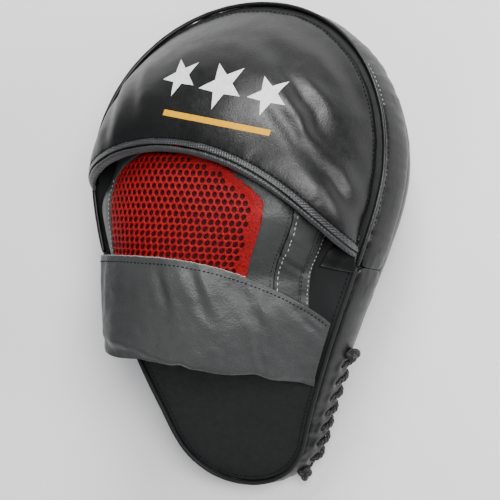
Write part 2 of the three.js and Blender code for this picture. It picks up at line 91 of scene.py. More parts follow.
studio = bpy.data.worlds.new("studio")
studio.use_nodes = True
studio.node_tree.nodes["Background"].inputs["Color"].default_value = (0.93, 0.95, 1.0, 1)
studio.node_tree.nodes["Background"].inputs["Strength"].default_value = 0.2
bpy.context.scene.world = studio

SOFT_LIGHTS = {  # place and size in metres, power in watts
    "light_past_fingers": ((0.25, 1.25, 0.95), 0.7, 25),
    "light_thumb_side": ((1.3, 0.1, 0.7), 0.5, 8),
    "light_above": ((1.2, 0.5, 2.3), 1.2, 60),
    "light_heel_side": ((-0.5, -1.4, 1.2), 0.7, 6),
}
for name, (place, size, watts) in SOFT_LIGHTS.items():
    bpy.ops.object.light_add(type="AREA", location=place)
    lamp = bpy.context.object
    lamp.name = name
    lamp.data.shape = "DISK"
    lamp.data.size = size
    lamp.data.energy = watts
    lamp.rotation_euler = (Vector(place) - look_at).to_track_quat("Z", "Y").to_euler()

# ---- Strike cover ----
# The leather that is struck: one piece stretched over the target foam, its edge rolled up to the side
# seam, where it is sewn to the side strips and gathers in small puckers.
MM = 0.001
LEATHER = 1.8
GLOSS_BLACK = (0.0035, 0.0036, 0.0038, 1)


def only(*pieces):
    bpy.ops.object.select_all(action="DESELECT")
    for piece in pieces:
        piece.select_set(True)
    bpy.context.view_layer.objects.active = pieces[0]


def apply_modifier(piece, kind, **settings):
    only(piece)
    modifier = piece.modifiers.new(kind, kind)
    for key, value in settings.items():
        setattr(modifier, key, value)
    bpy.ops.object.modifier_apply(modifier=modifier.name)


def smooth_copy(node, name, levels):
    """A copy of a CAD solid, merged, made of quads and rounded by subdivision."""
    piece = bpy.data.objects.new(name, nodes[node].data.copy())
    bpy.context.scene.collection.objects.link(piece)
    piece.data.materials.clear()
    only(piece)
    bpy.ops.mesh.customdata_custom_splitnormals_clear()
    bpy.ops.object.mode_set(mode="EDIT")
    bpy.ops.mesh.select_all(action="SELECT")
    bpy.ops.mesh.remove_doubles(threshold=0.00002)
    bpy.ops.mesh.tris_convert_to_quads(face_threshold=math.radians(60), shape_threshold=math.radians(75))
    bpy.ops.object.mode_set(mode="OBJECT")
    if levels:
        apply_modifier(piece, "SUBSURF", levels=levels, render_levels=levels)
    bpy.ops.object.shade_smooth()
    return piece


def skin(node, name, towards, levels, sharp=42):
    """The outer face of a CAD leather as an open sheet: all that runs on smoothly from its far end."""
    piece = smooth_copy(node, name, 0)
    direction = Vector(towards).normalized()
    bpy.ops.object.mode_set(mode="EDIT")
    bpy.ops.mesh.select_mode(type="FACE")
    bpy.ops.mesh.select_all(action="DESELECT")
    bpy.ops.object.mode_set(mode="OBJECT")
    facing = [f for f in piece.data.polygons if f.normal.dot(direction) > 0.8]
    max(facing, key=lambda f: f.center.dot(direction)).select = True
    bpy.ops.object.mode_set(mode="EDIT")
    bpy.ops.mesh.faces_select_linked_flat(sharpness=math.radians(sharp))
    bpy.ops.mesh.select_all(action="INVERT")
    bpy.ops.mesh.delete(type="FACE")
    bpy.ops.object.mode_set(mode="OBJECT")
    apply_modifier(piece, "SUBSURF", levels=levels, render_levels=levels)
    bpy.ops.object.shade_smooth()
    return piece


def cut_edges(piece):
    """The points on a sheet's cut edges."""
    uses = {}
    for face in piece.data.polygons:
        for key in face.edge_keys:
            uses[key] = uses.get(key, 0) + 1
    return {i for key, count in uses.items() if count == 1 for i in key}


def sculpt(piece, depth):
    """Moves each point out along its normal by depth(point), in metres."""
    normals = [v.normal.copy() for v in piece.data.vertices]
    for vertex, normal in zip(piece.data.vertices, normals):
        vertex.co += normal * depth(vertex.co)
    piece.data.update()


def tuck_in(piece, tuck, reach, pucker, pucker_reach, pitch):
    """Draws a sheet's edges down into their seams, with puckers that run out from the stitching."""
    edge = [piece.data.vertices[i].co.copy() for i in cut_edges(piece)]
    tree = KDTree(len(edge))
    for i, point in enumerate(edge):
        tree.insert(point, i)
    tree.balance()

    def depth(point):
        nearest, _, distance = tree.find(point)
        gather = noise.noise(nearest / (pitch * MM)) + 0.5 * noise.noise(nearest * 2.3 / (pitch * MM))
        drawn = math.exp(-distance / (reach * MM))
        ripple = math.exp(-distance / (pucker_reach * MM)) * (1 - 0.6 * drawn)
        return (pucker * gather * ripple - tuck * drawn) * MM

    sculpt(piece, depth)


def soften(piece, amount, size):
    """Slow hand-made unevenness over a whole piece."""
    sculpt(piece, lambda p: amount * MM * noise.noise(p / (size * MM)))


def thicken(piece, thickness, edge=0.35):
    """Gives a sheet its thickness, inwards, and rounds its cut edges a little."""
    apply_modifier(piece, "SOLIDIFY", thickness=thickness * MM, offset=-1, use_even_offset=False)
    corner = math.radians(50)
    apply_modifier(
        piece, "BEVEL", width=edge * MM, segments=2, limit_method="ANGLE", angle_limit=corner
    )
    only(piece)
    bpy.ops.object.shade_smooth_by_angle(angle=math.radians(60))


def node_at(tree, kind, **inputs):
    node = tree.nodes.new(kind)
    for key, value in inputs.items():
        node.inputs[key.replace("_", " ")].default_value = value
    return node


def leather(name, colour, roughness, grain=0.9, grain_depth=0.22, scuffs=0.3, shine=0.5):
    """Coated leather: a fine pebbled grain, finer creases, uneven gloss and slightly scuffed colour."""
    material = bpy.data.materials.new(name)
    material.use_nodes = True
    tree = material.node_tree
    shader = tree.nodes["Principled BSDF"]
    shader.inputs["Specular IOR Level"].default_value = shine
    place = tree.nodes.new("ShaderNodeTexCoord").outputs["Object"]
    pebbles = node_at(tree, "ShaderNodeTexVoronoi", Scale=1000 / grain, Randomness=0.9)
    pebbles.feature = "SMOOTH_F1"
    creases = node_at(tree, "ShaderNodeTexNoise", Scale=330, Detail=4, Roughness=0.6, Distortion=0.5)
    clouds = node_at(tree, "ShaderNodeTexNoise", Scale=38, Detail=5, Roughness=0.6)
    marks = node_at(tree, "ShaderNodeTexNoise", Scale=210, Detail=6, Roughness=0.75)
    for texture in (pebbles, creases, clouds, marks):
        tree.links.new(place, texture.inputs["Vector"])
    shade = tree.nodes.new("ShaderNodeMix")
    shade.data_type = "RGBA"
    shade.inputs["A"].default_value = tuple(0.82 * c for c in colour[:3]) + (1,)
    shade.inputs["B"].default_value = tuple(1.22 * c + 0.002 for c in colour[:3]) + (1,)
    tree.links.new(clouds.outputs["Fac"], shade.inputs["Factor"])
    tree.links.new(shade.outputs["Result"], shader.inputs["Base Color"])
    gloss = tree.nodes.new("ShaderNodeMapRange")
    gloss.inputs["From Min"].default_value = 0.3
    gloss.inputs["From Max"].default_value = 0.75
    gloss.inputs["To Min"].default_value = roughness * (1 - 0.35 * scuffs)
    gloss.inputs["To Max"].default_value = roughness * (1 + scuffs)
    tree.links.new(marks.outputs["Fac"], gloss.inputs["Value"])
    tree.links.new(gloss.outputs["Result"], shader.inputs["Roughness"])
    fine = node_at(tree, "ShaderNodeBump", Strength=grain_depth, Distance=0.0004)
    tree.links.new(pebbles.outputs["Distance"], fine.inputs["Height"])
    broad = node_at(tree, "ShaderNodeBump", Strength=grain_depth, Distance=0.0007)
    tree.links.new(creases.outputs["Fac"], broad.inputs["Height"])
    tree.links.new(fine.outputs["Normal"], broad.inputs["Normal"])
    tree.links.new(broad.outputs["Normal"], shader.inputs["Normal"])
    return material


gloss_leather = leather("gloss_black_leather", GLOSS_BLACK, 0.34, grain_depth=0.16, shine=0.42)

strike_cover = skin("strike_cover", "strike_leather", (0, 0, -1), 3)
tuck_in(strike_cover, tuck=2.2, reach=3, pucker=0.55, pucker_reach=9, pitch=11)
soften(strike_cover, 0.7, 55)
for vertex in strike_cover.data.vertices:
    vertex.co.z = max(vertex.co.z, 0)
strike_cover.data.update()
thicken(strike_cover, LEATHER)
strike_cover.data.materials.append(gloss_leather)
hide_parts("strike_cover")
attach(strike_cover, "pad")

# ---- Foams ----
# Three slabs of closed-cell foam inside the covers: a firm target layer, the core and a backing. They are
# cut to the pad's outline and glued face to face.
FOAM_GREY = (0.030, 0.031, 0.033, 1)


def foam(name, colour):
    """Closed-cell foam: small open cells on a cut face, with painted shade down in the cells."""
    material = bpy.data.materials.new(name)
    material.use_nodes = True
    tree = material.node_tree
    shader = tree.nodes["Principled BSDF"]
    shader.inputs["Roughness"].default_value = 0.92
    place = tree.nodes.new("ShaderNodeTexCoord").outputs["Object"]
    cells = node_at(tree, "ShaderNodeTexVoronoi", Scale=900)
    tree.links.new(place, cells.inputs["Vector"])
    # Painted shade: the colour halves at the middle of each cell, where the bump dips into a pit.
    tone = tree.nodes.new("ShaderNodeValToRGB")
    tone.color_ramp.elements[0].color = tuple(0.5 * c for c in colour[:3]) + (1,)
    tone.color_ramp.elements[1].color = colour
    tree.links.new(cells.outputs["Distance"], tone.inputs["Fac"])
    tree.links.new(tone.outputs["Color"], shader.inputs["Base Color"])
    pits = node_at(tree, "ShaderNodeBump", Strength=0.5, Distance=0.0005)
    tree.links.new(cells.outputs["Distance"], pits.inputs["Height"])
    tree.links.new(pits.outputs["Normal"], shader.inputs["Normal"])
    return material


cut_foam = foam("cut_foam", FOAM_GREY)
for slab in ("target_foam", "core_foam", "backing_foam"):
    piece = smooth_copy(slab, slab + "_slab", 1)
    piece.data.materials.append(cut_foam)
    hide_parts(slab)
    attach(piece, "pad")

# ---- Side strips ----
# The pad's side wall: one strip round the head and one round the heel, sewn to the strike cover along
# the side seam and turned in at the perimeter. They meet at a cross seam on each flank.
HEAD_HALF_WIDTH, HEAD_WIDEST, HEAD_TOP = 101.5, 53, 168.5  # in millimetres, along the pad's bent back
HEEL_HALF_WIDTH, HEEL_WIDEST, HEEL_TIP = 48, -128, -167.5
PAD_THICKNESS, HEEL_THICKNESS, TAPER_START = 43, 28, -30
STRIKE_RADIUS, SIDE_BULGE, EDGE_ROLL = 317, 8, 14
BACK_RADIUS = STRIKE_RADIUS + PAD_THICKNESS


def lerp(a, b, t):
    return a + (b - a) * t


def smoothstep(x, low, high):
    t = min(max((x - low) / (high - low), 0), 1)
    return t * t * (3 - 2 * t)


def bezier(points, t):
    a, b, c, d = (Vector(p) for p in points)
    s = 1 - t
    return a * s**3 + b * (3 * s * s * t) + c * (3 * s * t * t) + d * t**3


def pad_thickness(along):
    return lerp(HEEL_THICKNESS, PAD_THICKNESS, smoothstep(along, HEEL_TIP, TAPER_START))


def on_pad(across, along, height):
    """A place on the bent pad, from millimetres across, along and over the strike face, in metres."""
    angle = along / BACK_RADIUS
    reach = (STRIKE_RADIUS + height) * MM
    z = reach * math.cos(angle) - BACK_RADIUS * MM + back_top
    return Vector((across * MM, reach * math.sin(angle) + BEND_MIDDLE, z))


def perimeter():
    """The perimeter seam, clockwise from the top of the head, as closely spaced points."""
    round_off = 0.5523
    head = HEAD_TOP - HEAD_WIDEST
    right = [
        (0, HEAD_TOP), (round_off * HEAD_HALF_WIDTH, HEAD_TOP),
        (HEAD_HALF_WIDTH, HEAD_WIDEST + round_off * head), (HEAD_HALF_WIDTH, HEAD_WIDEST),
        (HEAD_HALF_WIDTH, HEAD_WIDEST - 40), (HEEL_HALF_WIDTH + 8, HEEL_WIDEST + 32),
        (HEEL_HALF_WIDTH, HEEL_WIDEST), (HEEL_HALF_WIDTH - 6, HEEL_WIDEST - 24),
        (HEEL_HALF_WIDTH / 2, HEEL_TIP), (0, HEEL_TIP),
    ]
    whole = right + [(-x, y) for x, y in reversed(right[:-1])]
    points = [Vector(whole[0])]
    for i in range(0, len(whole) - 1, 3):
        points += [bezier(whole[i:i + 4], (k + 1) / 60) for k in range(60)]
    return points


seam_points = perimeter()
seam_reach = [0.0]
for before, after in zip(seam_points, seam_points[1:]):
    seam_reach.append(seam_reach[-1] + (after - before).length)


def rim(turn, offset=0):
    """A point of the perimeter, turn 0 to 1 clockwise from the top of the head, moved out by offset."""
    wanted = (turn % 1) * seam_reach[-1]
    i = max(1, next(k for k, reach in enumerate(seam_reach) if reach >= wanted))
    a, b = seam_points[i - 1], seam_points[i]
    share = (wanted - seam_reach[i - 1]) / max(seam_reach[i] - seam_reach[i - 1], 1e-9)
    forward = (b - a).normalized()
    return a.lerp(b, share) + Vector((-forward.y, forward.x)) * offset


def turn_at(along):
    """The turn at which the thumb side of the perimeter passes a place along the pad."""
    low, high = 0.0, 0.5
    for _ in range(24):
        middle = (low + high) / 2
        low, high = (middle, high) if rim(middle).y > along else (low, middle)
    return (low + high) / 2


LACE_FROM, LACE_TO, LACE_TURNS, LACE_REACH = turn_at(-66), turn_at(-150), 7, 5.5


def side_offset(height, along):
    half = pad_thickness(along) / 2
    if height < half:
        return SIDE_BULGE - EDGE_ROLL + EDGE_ROLL * math.sqrt(1 - min((half - height) / half, 1) ** 2)
    rise = (height - half) / half
    return SIDE_BULGE * (1 - rise * rise)


def wall_point(turn, over_seam, proud):
    """A point on the side wall, given by its height over the side seam and how far it stands out."""
    along = rim(turn).y
    height = pad_thickness(along) / 2 + over_seam
    flat = rim(turn, side_offset(height, along) + proud)
    return on_pad(flat.x, flat.y, height)


lace_holes = [
    wall_point(lerp(LACE_FROM, LACE_TO, (i + 0.5) / LACE_TURNS), LACE_REACH, 0)
    for i in range(LACE_TURNS)
]


def drawn_to_holes(point):
    """The leather dips at each lace hole and gathers into folds that run up from it."""
    away = min((point - hole).length for hole in lace_holes) / MM
    return MM * (0.9 * math.exp(-(((away - 5.5) / 2.4) ** 2)) - 1.5 * math.exp(-((away / 2.8) ** 2)))


for node, name, towards in (
    ("head_side_strip", "head_side_leather", (0, 1, 0)),
    ("heel_side_strip", "heel_side_leather", (0, -1, 0)),
):
    strip = skin(node, name, towards, 3)
    tuck_in(strip, tuck=0.9, reach=1.6, pucker=0.9, pucker_reach=8, pitch=6)
    soften(strip, 0.6, 28)
    sculpt(strip, drawn_to_holes)
    thicken(strip, LEATHER)
    strip.data.materials.append(gloss_leather)
    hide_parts(node)
    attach(strip, "pad")

# ---- Back panel ----
# Matt leather over the backing foam, under the hand, sewn in at the perimeter. It shows at the heel and
# beside the thumb.
MATT_BLACK = (0.0105, 0.011, 0.0115, 1)
matt_leather = leather("matt_black_leather", MATT_BLACK, 0.62, grain=0.7, grain_depth=0.1, shine=0.3)
back_panel = skin("back_panel", "back_leather", (0, 0, 1), 2)
tuck_in(back_panel, tuck=0.3, reach=2.5, pucker=0.25, pucker_reach=7, pitch=9)
soften(back_panel, 0.25, 40)
thicken(back_panel, LEATHER)
back_panel.data.materials.append(matt_leather)
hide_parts("back_panel")
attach(back_panel, "pad")

# ---- Welts ----
# Piping caught in the perimeter seam: a strip of leather folded over a cord, gloss round the hood and matt
# round the heel.
PIPING_DROP = 1.0  # the seam pulls it down between the leathers, in millimetres
for node, name, finish, slot in (
    ("hood_welt", "hood_piping", gloss_leather, "gloss_leather"),
    ("heel_welt", "heel_piping", matt_leather, "matt_leather"),
):
    welt = smooth_copy(node, name, 1)
    sculpt(welt, lambda p: (0.35 + 0.15 * noise.noise(p / (3 * MM))) * MM)
    for vertex in welt.data.vertices:
        vertex.co.z -= PIPING_DROP * MM
    welt.data.update()
    welt.data.materials.append(finish)
    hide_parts(node)
    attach(welt, "pad")

# ---- Finger hood ----
# Padded leather over the fingers: one panel, sewn in with the piping round the head and bound at its
# mouth. The padding fills it out. Hands going in and out have left long soft folds on both sides.


def flat_place(point):
    """Millimetres across and along, as on the pad before it is bent."""
    angle = math.atan2(point.y - BEND_MIDDLE, point.z - back_top + BACK_RADIUS * MM)
    return Vector((point.x / MM, BACK_RADIUS * angle))


def crease(piece, folds):
    """Long soft folds: each runs from one flat place to another, with a width and a depth in mm."""
    lines = [(Vector(a), Vector(b), width, deep) for a, b, width, deep in folds]

    def depth(point):
        flat = flat_place(point)
        total = 0.0
        for a, b, width, deep in lines:
            run = b - a
            share = (flat - a).dot(run) / run.length_squared
            if -0.25 < share < 1.25:
                side = run.cross(flat - a) / run.length
                side += 1.5 * noise.noise(Vector((flat.x, flat.y, 3)) / 14)
                fade = smoothstep(share, -0.25, 0.25) * (1 - smoothstep(share, 0.7, 1.25))
                reach = side / width
                valley = math.exp(-(reach ** 2))
                ridge = math.exp(-((reach - 1.7) ** 2)) + 0.5 * math.exp(-((reach + 1.8) ** 2))
                total += deep * fade * (0.6 * ridge - valley)
        return total * MM

    sculpt(piece, depth)


def surface_of(piece):
    return BVHTree.FromPolygons(
        [v.co.copy() for v in piece.data.vertices], [tuple(f.vertices) for f in piece.data.polygons]
    )


hood = skin("finger_hood", "hood_leather", (0, 0, 1), 3)
tuck_in(hood, tuck=1.5, reach=2.2, pucker=0.5, pucker_reach=9, pitch=8)
crease(
    hood,
    [
        ((-84, 104), (-72, 58), 5.0, 1.1),
        ((-70, 112), (-52, 70), 5.0, 0.8),
        ((30, 112), (78, 66), 6.5, 0.8),
        ((44, 98), (86, 50), 5.0, 0.95),
        ((38, 82), (82, 34), 4.5, 0.9),
        ((62, 74), (88, 22), 4.5, 0.8),
        ((14, 128), (70, 96), 7.0, 0.7),
        ((60, 126), (92, 84), 5.0, 0.8),
    ],
)
soften(hood, 1.2, 48)
soften(hood, 0.3, 13)
hood_skin = surface_of(hood)
thicken(hood, LEATHER)
hood.data.materials.append(gloss_leather)
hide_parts("finger_hood")
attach(hood, "pad")

# ---- Hood print ----
# A screen print on the hood: three white stars over a yellow bar. The ink has no thickness to speak of,
# and follows the leather.
STARS = ((-26, 96, 12.5), (4, 91, 15), (34, 86, 12.5))  # across, along, size in millimetres
BAR_FROM, BAR_TO, BAR_WIDTH = (-30, 74), (40, 64), 3.4
PRINT_TILT = math.radians(-9)


def ink(name, colour):
    """Screen ink: slightly glossy and unevenly worn, with a fine bump of its own."""
    material = bpy.data.materials.new(name)
    material.use_nodes = True
    tree = material.node_tree
    shader = tree.nodes["Principled BSDF"]
    place = tree.nodes.new("ShaderNodeTexCoord").outputs["Object"]
    wear = node_at(tree, "ShaderNodeTexNoise", Scale=420, Detail=5, Roughness=0.7)
    tree.links.new(place, wear.inputs["Vector"])
    tone = tree.nodes.new("ShaderNodeValToRGB")
    tone.color_ramp.elements[0].color = tuple(0.8 * c for c in colour[:3]) + (1,)
    tone.color_ramp.elements[0].position = 0.3
    tone.color_ramp.elements[1].color = colour
    tone.color_ramp.elements[1].position = 0.55
    tree.links.new(wear.outputs["Fac"], tone.inputs["Fac"])
    tree.links.new(tone.outputs["Color"], shader.inputs["Base Color"])
    shader.inputs["Roughness"].default_value = 0.5
    shader.inputs["Specular IOR Level"].default_value = 0.15
    bump = node_at(tree, "ShaderNodeBump", Strength=0.12, Distance=0.0004)
    tree.links.new(wear.outputs["Fac"], bump.inputs["Height"])
    tree.links.new(bump.outputs["Normal"], shader.inputs["Normal"])
    return material


def on_back(across, along, height):
    return on_pad(across, along, pad_thickness(along) + height)


def lay_on(piece, surface, lift):
    """Drops a flat piece drawn in millimetres across and along onto a surface."""
    for vertex in piece.data.vertices:
        target = on_back(vertex.co.x, vertex.co.y, 45)
        point, normal, _, _ = surface.find_nearest(target)
        hit, hit_normal, _, _ = surface.ray_cast(target + Vector((0, 0, 0.04)), Vector((0, 0, -1)))
        if hit:
            point, normal = hit, hit_normal
        vertex.co = point + normal * lift * MM
    piece.data.update()


def printed(name, make, material):
    """One shape of the print: drawn flat by make, cut finer and laid on the hood."""
    make()
    piece = bpy.context.object
    piece.name = name
    bpy.ops.object.mode_set(mode="EDIT")
    bpy.ops.mesh.select_all(action="SELECT")
    bpy.ops.mesh.quads_convert_to_tris()
    for _ in range(3):
        bpy.ops.mesh.subdivide(number_cuts=1)
    bpy.ops.object.mode_set(mode="OBJECT")
    lay_on(piece, hood_skin, 0.12)
    bpy.ops.object.shade_smooth()
    piece.data.materials.append(material)
    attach(piece, "pad")


def star(across, along, size):
    """A five-pointed star, every other corner drawn in to its waist."""
    bpy.ops.mesh.primitive_circle_add(vertices=10, radius=1, fill_type="TRIFAN")
    piece = bpy.context.object
    for i, vertex in enumerate(piece.data.vertices):
        point = vertex.co.to_2d() * size * (0.42 if i % 2 and vertex.co.length > 0.5 else 1)
        point.rotate(Matrix.Rotation(PRINT_TILT, 2))
        vertex.co = (point.x + across, point.y + along, 0)


def bar():
    bpy.ops.mesh.primitive_grid_add(x_subdivisions=10, y_subdivisions=1, size=1)
    a, b = Vector(BAR_FROM), Vector(BAR_TO)
    side = Vector((a.y - b.y, b.x - a.x)).normalized() * BAR_WIDTH
    for vertex in bpy.context.object.data.vertices:
        point = a.lerp(b, vertex.co.x + 0.5) + side * vertex.co.y
        vertex.co = (point.x, point.y, 0)


white_ink = ink("white_print", (0.8, 0.8, 0.79, 1))
for i, (across, along, size) in enumerate(STARS):
    printed(f"print_star_{i + 1}", lambda: star(across, along, size), white_ink)
printed("print_bar", bar, ink("yellow_print", (0.72, 0.36, 0.002, 1)))

# ---- Hood padding, lining and binding ----
# A thin foam and a cloth lining follow the hood inside. Satin tape, folded over the mouth's edge, covers
# their ends and is caught by one row of stitches.
CLOTH_BLACK = (0.016, 0.016, 0.017, 1)
TAPE_GREY = (0.021, 0.022, 0.023, 1)


def woven(name, colour, roughness, pitch, depth=0.5):
    """Woven cloth or tape: crossed ribs at the thread's own pitch, in millimetres."""
    material = bpy.data.materials.new(name)
    material.use_nodes = True
    tree = material.node_tree
    shader = tree.nodes["Principled BSDF"]
    shader.inputs["Sheen Weight"].default_value = 0.15
    place = tree.nodes.new("ShaderNodeTexCoord").outputs["Object"]
    height = tree.nodes.new("ShaderNodeMath")
    height.operation = "ADD"
    for i, way in enumerate(("X", "Y")):
        ribs = node_at(tree, "ShaderNodeTexWave", Scale=100 / pitch, Distortion=0.6, Detail_Scale=6)
        ribs.bands_direction = way
        tree.links.new(place, ribs.inputs["Vector"])
        tree.links.new(ribs.outputs["Fac"], height.inputs[i])
    clouds = node_at(tree, "ShaderNodeTexNoise", Scale=150, Detail=5, Roughness=0.7)
    tree.links.new(place, clouds.inputs["Vector"])
    shade = tree.nodes.new("ShaderNodeMix")
    shade.data_type = "RGBA"
    shade.inputs["A"].default_value = tuple(0.65 * c for c in colour[:3]) + (1,)
    shade.inputs["B"].default_value = tuple(1.3 * c for c in colour[:3]) + (1,)
    tree.links.new(clouds.outputs["Fac"], shade.inputs["Factor"])
    tree.links.new(shade.outputs["Result"], shader.inputs["Base Color"])
    gloss = tree.nodes.new("ShaderNodeMapRange")
    gloss.inputs["To Min"].default_value = roughness * 0.85
    gloss.inputs["To Max"].default_value = roughness * 1.15
    tree.links.new(clouds.outputs["Fac"], gloss.inputs["Value"])
    tree.links.new(gloss.outputs["Result"], shader.inputs["Roughness"])
    bump = node_at(tree, "ShaderNodeBump", Strength=depth, Distance=0.0003)
    tree.links.new(height.outputs["Value"], bump.inputs["Height"])
    tree.links.new(bump.outputs["Normal"], shader.inputs["Normal"])
    return material


lining_cloth = woven("black_lining_cloth", CLOTH_BLACK, 0.85, 0.9)
satin_tape = woven("satin_tape", TAPE_GREY, 0.42, 0.5, depth=0.35)
for node, name, finish, slot, levels in (
    ("hood_padding", "hood_foam", cut_foam, "foam", 1),
    ("hood_lining", "hood_cloth", lining_cloth, "black_cloth", 1),
    ("hood_binding", "hood_tape", satin_tape, "binding_tape", 2),
):
    piece = smooth_copy(node, name, levels)
    if node != "hood_binding":
        sculpt(piece, lambda p: -0.6 * MM)
    else:
        soften(piece, 0.5, 16)
        soften(piece, 0.15, 4)
        only(piece)
        bpy.ops.object.shade_smooth_by_angle(angle=math.radians(50))
    piece.data.materials.append(finish)
    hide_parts(node)
    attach(piece, "pad")

HOOD_FROM, HOOD_TO = -turn_at(44), turn_at(9)  # where the hood leaves the rim on each side
TAPE_WIDTH = 3.0


def hood_place(u, v):
    """The hood's outer face: u along the rim from the little finger side, v from the mouth to the rim."""
    share = (1 - math.cos(math.pi * u)) / 2
    left, right = rim(HOOD_FROM, -4.7), rim(HOOD_TO, -4.7)
    mouth_points = [(left.x, left.y - 8), (0.65 * left.x, 60), (22.33, 72), (right.x, right.y - 8)]
    mouth = bezier(mouth_points, share)
    flat = mouth.lerp(rim(lerp(HOOD_FROM, HOOD_TO, share), -4.7), v)
    arch = (1 - abs(2 * share - 1) ** 2.4) ** 0.6
    return on_back(flat.x, flat.y, 2.4 + (51 * arch + 1) * math.cos(v * math.pi / 2))


def up_from_mouth(u, distance):
    """The place on the hood a few millimetres up from its mouth."""
    v = 0.0
    while (hood_place(u, v) - hood_place(u, 0)).length < distance * MM and v < 0.9:
        v += 0.004
    return hood_place(u, v)


def grid_piece(name, columns, rows, surface):
    """A sheet drawn as a grid, with its face outwards: surface takes two shares from 0 to 1."""
    bpy.ops.mesh.primitive_grid_add(x_subdivisions=columns, y_subdivisions=rows, size=1)
    piece = bpy.context.object
    piece.name = name
    for vertex in piece.data.vertices:
        vertex.co = surface(vertex.co.x + 0.5, vertex.co.y + 0.5)
    piece.data.update()
    bpy.ops.object.shade_smooth()
    return piece


def tape_place(u, v):
    """The tape's outer fold, from the mouth's edge, where it stands out, up over the hood."""
    up = up_from_mouth(lerp(0.012, 0.988, u), TAPE_WIDTH * v)
    point, normal, _, _ = hood_skin.find_nearest(up)
    return point + normal * (0.6 + 1.3 * (1 - v) ** 2) * MM


tape_face = grid_piece("hood_tape_face", 180, 6, tape_place)
soften(tape_face, 0.12, 5)
thicken(tape_face, 0.6, edge=0.2)
tape_face.data.materials.append(satin_tape)
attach(tape_face, "pad")

# ---- Hand cover ----
# Grey leather over the back of the hand, sewn down on the little finger side: a narrow panel left of the
# mesh window and a broader one right of it. They join under the hood, and the cuff presses them down.
CHARCOAL = (0.040, 0.042, 0.042, 1)
COVER_START, COVER_END, THUMB_SEAM = -30, 77.5, 1.645
CUFF_CREST, COVER_CREST, WRIST_HEIGHT, COVER_HEIGHT = -28, -15, 42.1, 45
WINDOW_LEFT = ((-40, 0.42), (38, 0.42), (45, 0.53), (52, 0.70), (56, 0.85), (60, 0.90), (90, 0.90))
WINDOW_RIGHT = (
    (-40, 1.465), (27.5, 1.44), (32, 1.39), (38, 1.31), (45.5, 1.21), (55, 1.00), (60, 0.90), (90, 0.90),
)


def half_width(along):
    return rim(turn_at(along)).x


def cover_section(share, along):
    """The cover's arch: share 0 at the little finger foot, 1 at the crest and 2 at the thumb foot."""
    knuckles = smoothstep(along, -18, 22)
    under_hood = smoothstep(along, 22, 50)

    def mix(wrist, knuckle):
        return lerp(Vector(wrist), Vector(knuckle), knuckles)

    points = [
        Vector((-half_width(along) + 6 + 16 * under_hood, 1)),
        mix((-73, 12), (-82 + 4 * under_hood, 22)),
        mix((-68, WRIST_HEIGHT), (-64, COVER_HEIGHT)),
        mix((CUFF_CREST, WRIST_HEIGHT), (COVER_CREST, COVER_HEIGHT)),
        mix((24, WRIST_HEIGHT), (30, COVER_HEIGHT)),
        mix((40, 3), (66, 33.75)),
        mix((57, 1), (67, 2)),
    ]
    return bezier(points[:4], share) if share <= 1 else bezier(points[3:], share - 1)


def on_cover(share, along, lift=0):
    section = cover_section(share, along)
    dip = 9 * smoothstep(along, 38, 78)
    return on_back(section.x, along, max(section.y * (1 - dip / COVER_HEIGHT), 0.5) + lift)


def along_line(line, along):
    for (a, left), (b, right) in zip(line, line[1:]):
        if along <= b:
            return lerp(left, right, (along - a) / (b - a))
    return line[-1][1]


def cover_panel(u, v, left, right):
    """A panel of the cover between two edges, each a share of the arch at a place along the pad."""
    along = lerp(COVER_START, COVER_END, v)
    return on_cover(lerp(left(along), right(along), u), along)


grey_leather = leather("charcoal_leather", CHARCOAL, 0.42, grain=1.1, grain_depth=0.38, shine=0.38)


def left_place(u, v):
    return cover_panel(u, v, lambda a: 0, lambda a: along_line(WINDOW_LEFT, a))


def right_place(u, v):
    """The right panel, which reaches a little way under the mesh."""
    return cover_panel(u, v, lambda a: along_line(WINDOW_RIGHT, a) - 0.03 * (a < 55), lambda a: THUMB_SEAM)


left_panel = grid_piece("hand_cover_left", 24, 86, left_place)
right_panel = grid_piece("hand_cover_right", 30, 86, right_place)
CUFF_FOLD, CUFF_CREASE, TAB_END = 0.08, 1.46, 1.985
CUFF_LOW_EDGE, CUFF_HIGH_EDGE, CUFF_SLANT = -64.5, -7, 20.5


def cuff_place(share, v):
    """The strap's outer face: share as for the cover, v from the lower edge to the top one."""
    spread = max(share - 1, 0)
    high_edge = CUFF_HIGH_EDGE - 37 * spread**1.75 - 4 * max(0.8 - share, 0)
    along = lerp(CUFF_LOW_EDGE - CUFF_SLANT * spread, high_edge, v)
    side = half_width(along)
    points = [
        Vector((-side + 3, 3)),
        Vector((-84, 10)),
        Vector((-79, 50.5)),
        Vector((CUFF_CREST, 50.5)),
        Vector((26, 52)),
        Vector((42, 9)),
        Vector((side - 3.2, 5)),
    ]
    section = bezier(points[:4], share) if share <= 1 else bezier(points[3:], share - 1)
    return on_back(section.x, along, section.y)


top_edge = [tuple(flat_place(cuff_place(TAB_END * i / 40, 1))) for i in range(41)]
cuff_top = [(-200, top_edge[0][1])] + [p for p in top_edge if p[0] > -75] + [(200, top_edge[-1][1])]
cover_skins = {}


def under_cuff(piece, depth):
    """Presses what lies under the cuff down a little, flat against the hand."""
    def press(point):
        flat = flat_place(point)
        edge = along_line(cuff_top, flat.x)
        return -depth * MM * (1 - smoothstep(flat.y, edge - 10, edge - 2))

    sculpt(piece, press)


for piece in (left_panel, right_panel):
    soften(piece, 0.5, 16)
    tuck_in(piece, tuck=0.5, reach=2, pucker=0.45, pucker_reach=8, pitch=7)
    under_cuff(piece, 2.0)
    cover_skins[piece.name] = surface_of(piece)
    thicken(piece, LEATHER)
    piece.data.materials.append(grey_leather)
    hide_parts("hand_cover")
    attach(piece, "pad")
